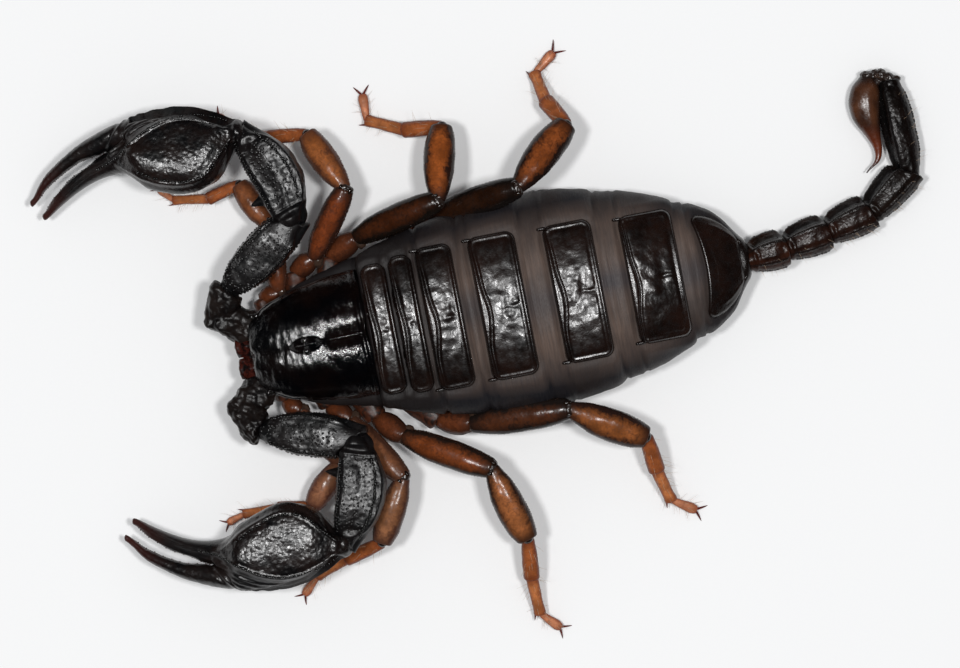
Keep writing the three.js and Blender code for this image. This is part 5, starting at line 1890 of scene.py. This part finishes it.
def hairTemplate():
    # a thin bent cone of unit length, sized down to the frame
    stops = stations(1, hairLooks["rings"], start=(), end=((0.02, 0.3),))
    hair = shapedTube(5, stops, (0, 0, *(lambda t: 1 - 0.75 * t,) * 4))
    patch = hair.data.attributes.new("patch", "FLOAT_VECTOR", "POINT")
    for vertex in hair.data.vertices:
        turnShare = math.atan2(vertex.co.y, vertex.co.x) / math.tau
        patch.data[vertex.index].vector = (turnShare, vertex.co.z - 0.5, 0)
        vertex.co.x += hairLooks["bend"] * vertex.co.z**2
    hair.location = (0, 0, -1)
    hair.scale = (mm, mm, mm)
    pick(hair)
    bpy.ops.object.transform_apply(location=False, rotation=False, scale=True)
    return hair


def unwrappedCopy(piece):
    clearSelection()
    copy = piece.copy()
    copy.data = piece.data.copy()
    bpy.context.scene.collection.objects.link(copy)
    editAll(copy)
    bpy.ops.uv.smart_project(angle_limit=math.radians(66), island_margin=0.004)
    bpy.ops.object.mode_set(mode="OBJECT")
    bpy.context.view_layer.update()
    return copy


def addHairs(name, skinPiece, spots, finish, slot):
    # spots: (root, direction, length in millimetres); the map is that of the skin under each root
    unwrapped = unwrappedCopy(skinPiece)
    layout = unwrapped.data.uv_layers.active.data
    copies = []
    for root, direction, length in spots:
        _, _, _, face = unwrapped.closest_point_on_mesh(root)
        corners = [layout[i].uv for i in unwrapped.data.polygons[face].loop_indices]
        u, v = (sum(corner[i] for corner in corners) / len(corners) for i in (0, 1))
        thick = hairLooks["thickness"]
        copies.append((root, direction, (thick, thick, length), (u, v, 0)))
    bpy.data.objects.remove(unwrapped)
    hairs = scatter(hairPattern, copies, finish, name)
    mesh = hairs.data
    for layer in list(mesh.uv_layers):
        mesh.uv_layers.remove(layer)
    bake = mesh.uv_layers.new(name="OFBake")
    marks, patches = mesh.attributes["mark"].data, mesh.attributes["patch"].data
    for loop in mesh.loops:
        root, patch = marks[loop.vertex_index].vector, patches[loop.vertex_index].vector
        for axis in (0, 1):
            at = min(max(root[axis], 0.002), 0.998)
            bake.data[loop.index].uv[axis] = at + patch[axis] * hairLooks["patch"]
    handOver(hairs, slot)


def hairSpots(piece, place, low, high, count, longest, angles, lean):
    # roots strewn over a tube; the hairs lean along it
    spots = []
    forward = directionOf(place)
    for _ in range(count):
        angle = random.uniform(*angles)
        found = surfaceSpot(piece, place, angle, random.uniform(low, high))
        if found:
            root, normal = found
            direction = (normal + forward * random.uniform(0.4, 1.2) * lean).normalized()
            direction = (direction + Vector([random.uniform(-0.2, 0.2) for _ in range(3)])).normalized()
            hairLength = longest * random.uniform(0.45, 1)
            # a hair whose tip would go into the ground is left out
            if root.z + direction.z * hairLength * mm > 0.05 * mm:
                spots.append((root, direction, hairLength))
    return spots


hairPattern = hairTemplate()
paleHair = plainFinish("paleHair", (0.50, 0.36, 0.25), roughness=0.4)
darkHair = plainFinish("darkHair", (0.10, 0.055, 0.035), roughness=0.4)
looks = hairLooks["foot"]
for name, places in legPlaces.items():
    foot = bpy.data.objects[f"foot_{name}"]
    spots = []
    for (place, length), count in zip(places[3:], looks["count"]):
        ends = 0.08 * length, 0.95 * length
        spots += hairSpots(foot, place, *ends, count, looks["length"], (0, 360), looks["lean"])
    addHairs(f"footHairs_{name}", foot, spots, paleHair, "leg_amber")
looks = hairLooks["palm"]
for name, places in palpPlaces.items():
    hand = bpy.data.objects[f"palpHand_{name}"]
    inner = (150, 210) if palps[name]["side"] > 0 else (-30, 30)
    spots = hairSpots(hand, places[4][0], 1.0, 6.0, looks["count"], looks["length"], inner, looks["lean"])
    addHairs(f"palpHairs_{name}", hand, spots, darkHair, "palp")
looks = hairLooks["tail"]
for index, (place, length) in enumerate(tailPlaces, 1):
    ring = bpy.data.objects[f"tailRing{index}"]
    ends, count = (0.1 * length, 0.95 * length), round(looks["perMm"] * length)
    spots = hairSpots(ring, place, *ends, count, looks["length"], (170, 400), looks["lean"])
    addHairs(f"tailHairs{index}", ring, spots, paleHair, "tail")


# the bead and hair templates are taken away
bpy.data.objects.remove(bead)
bpy.data.objects.remove(hairPattern)
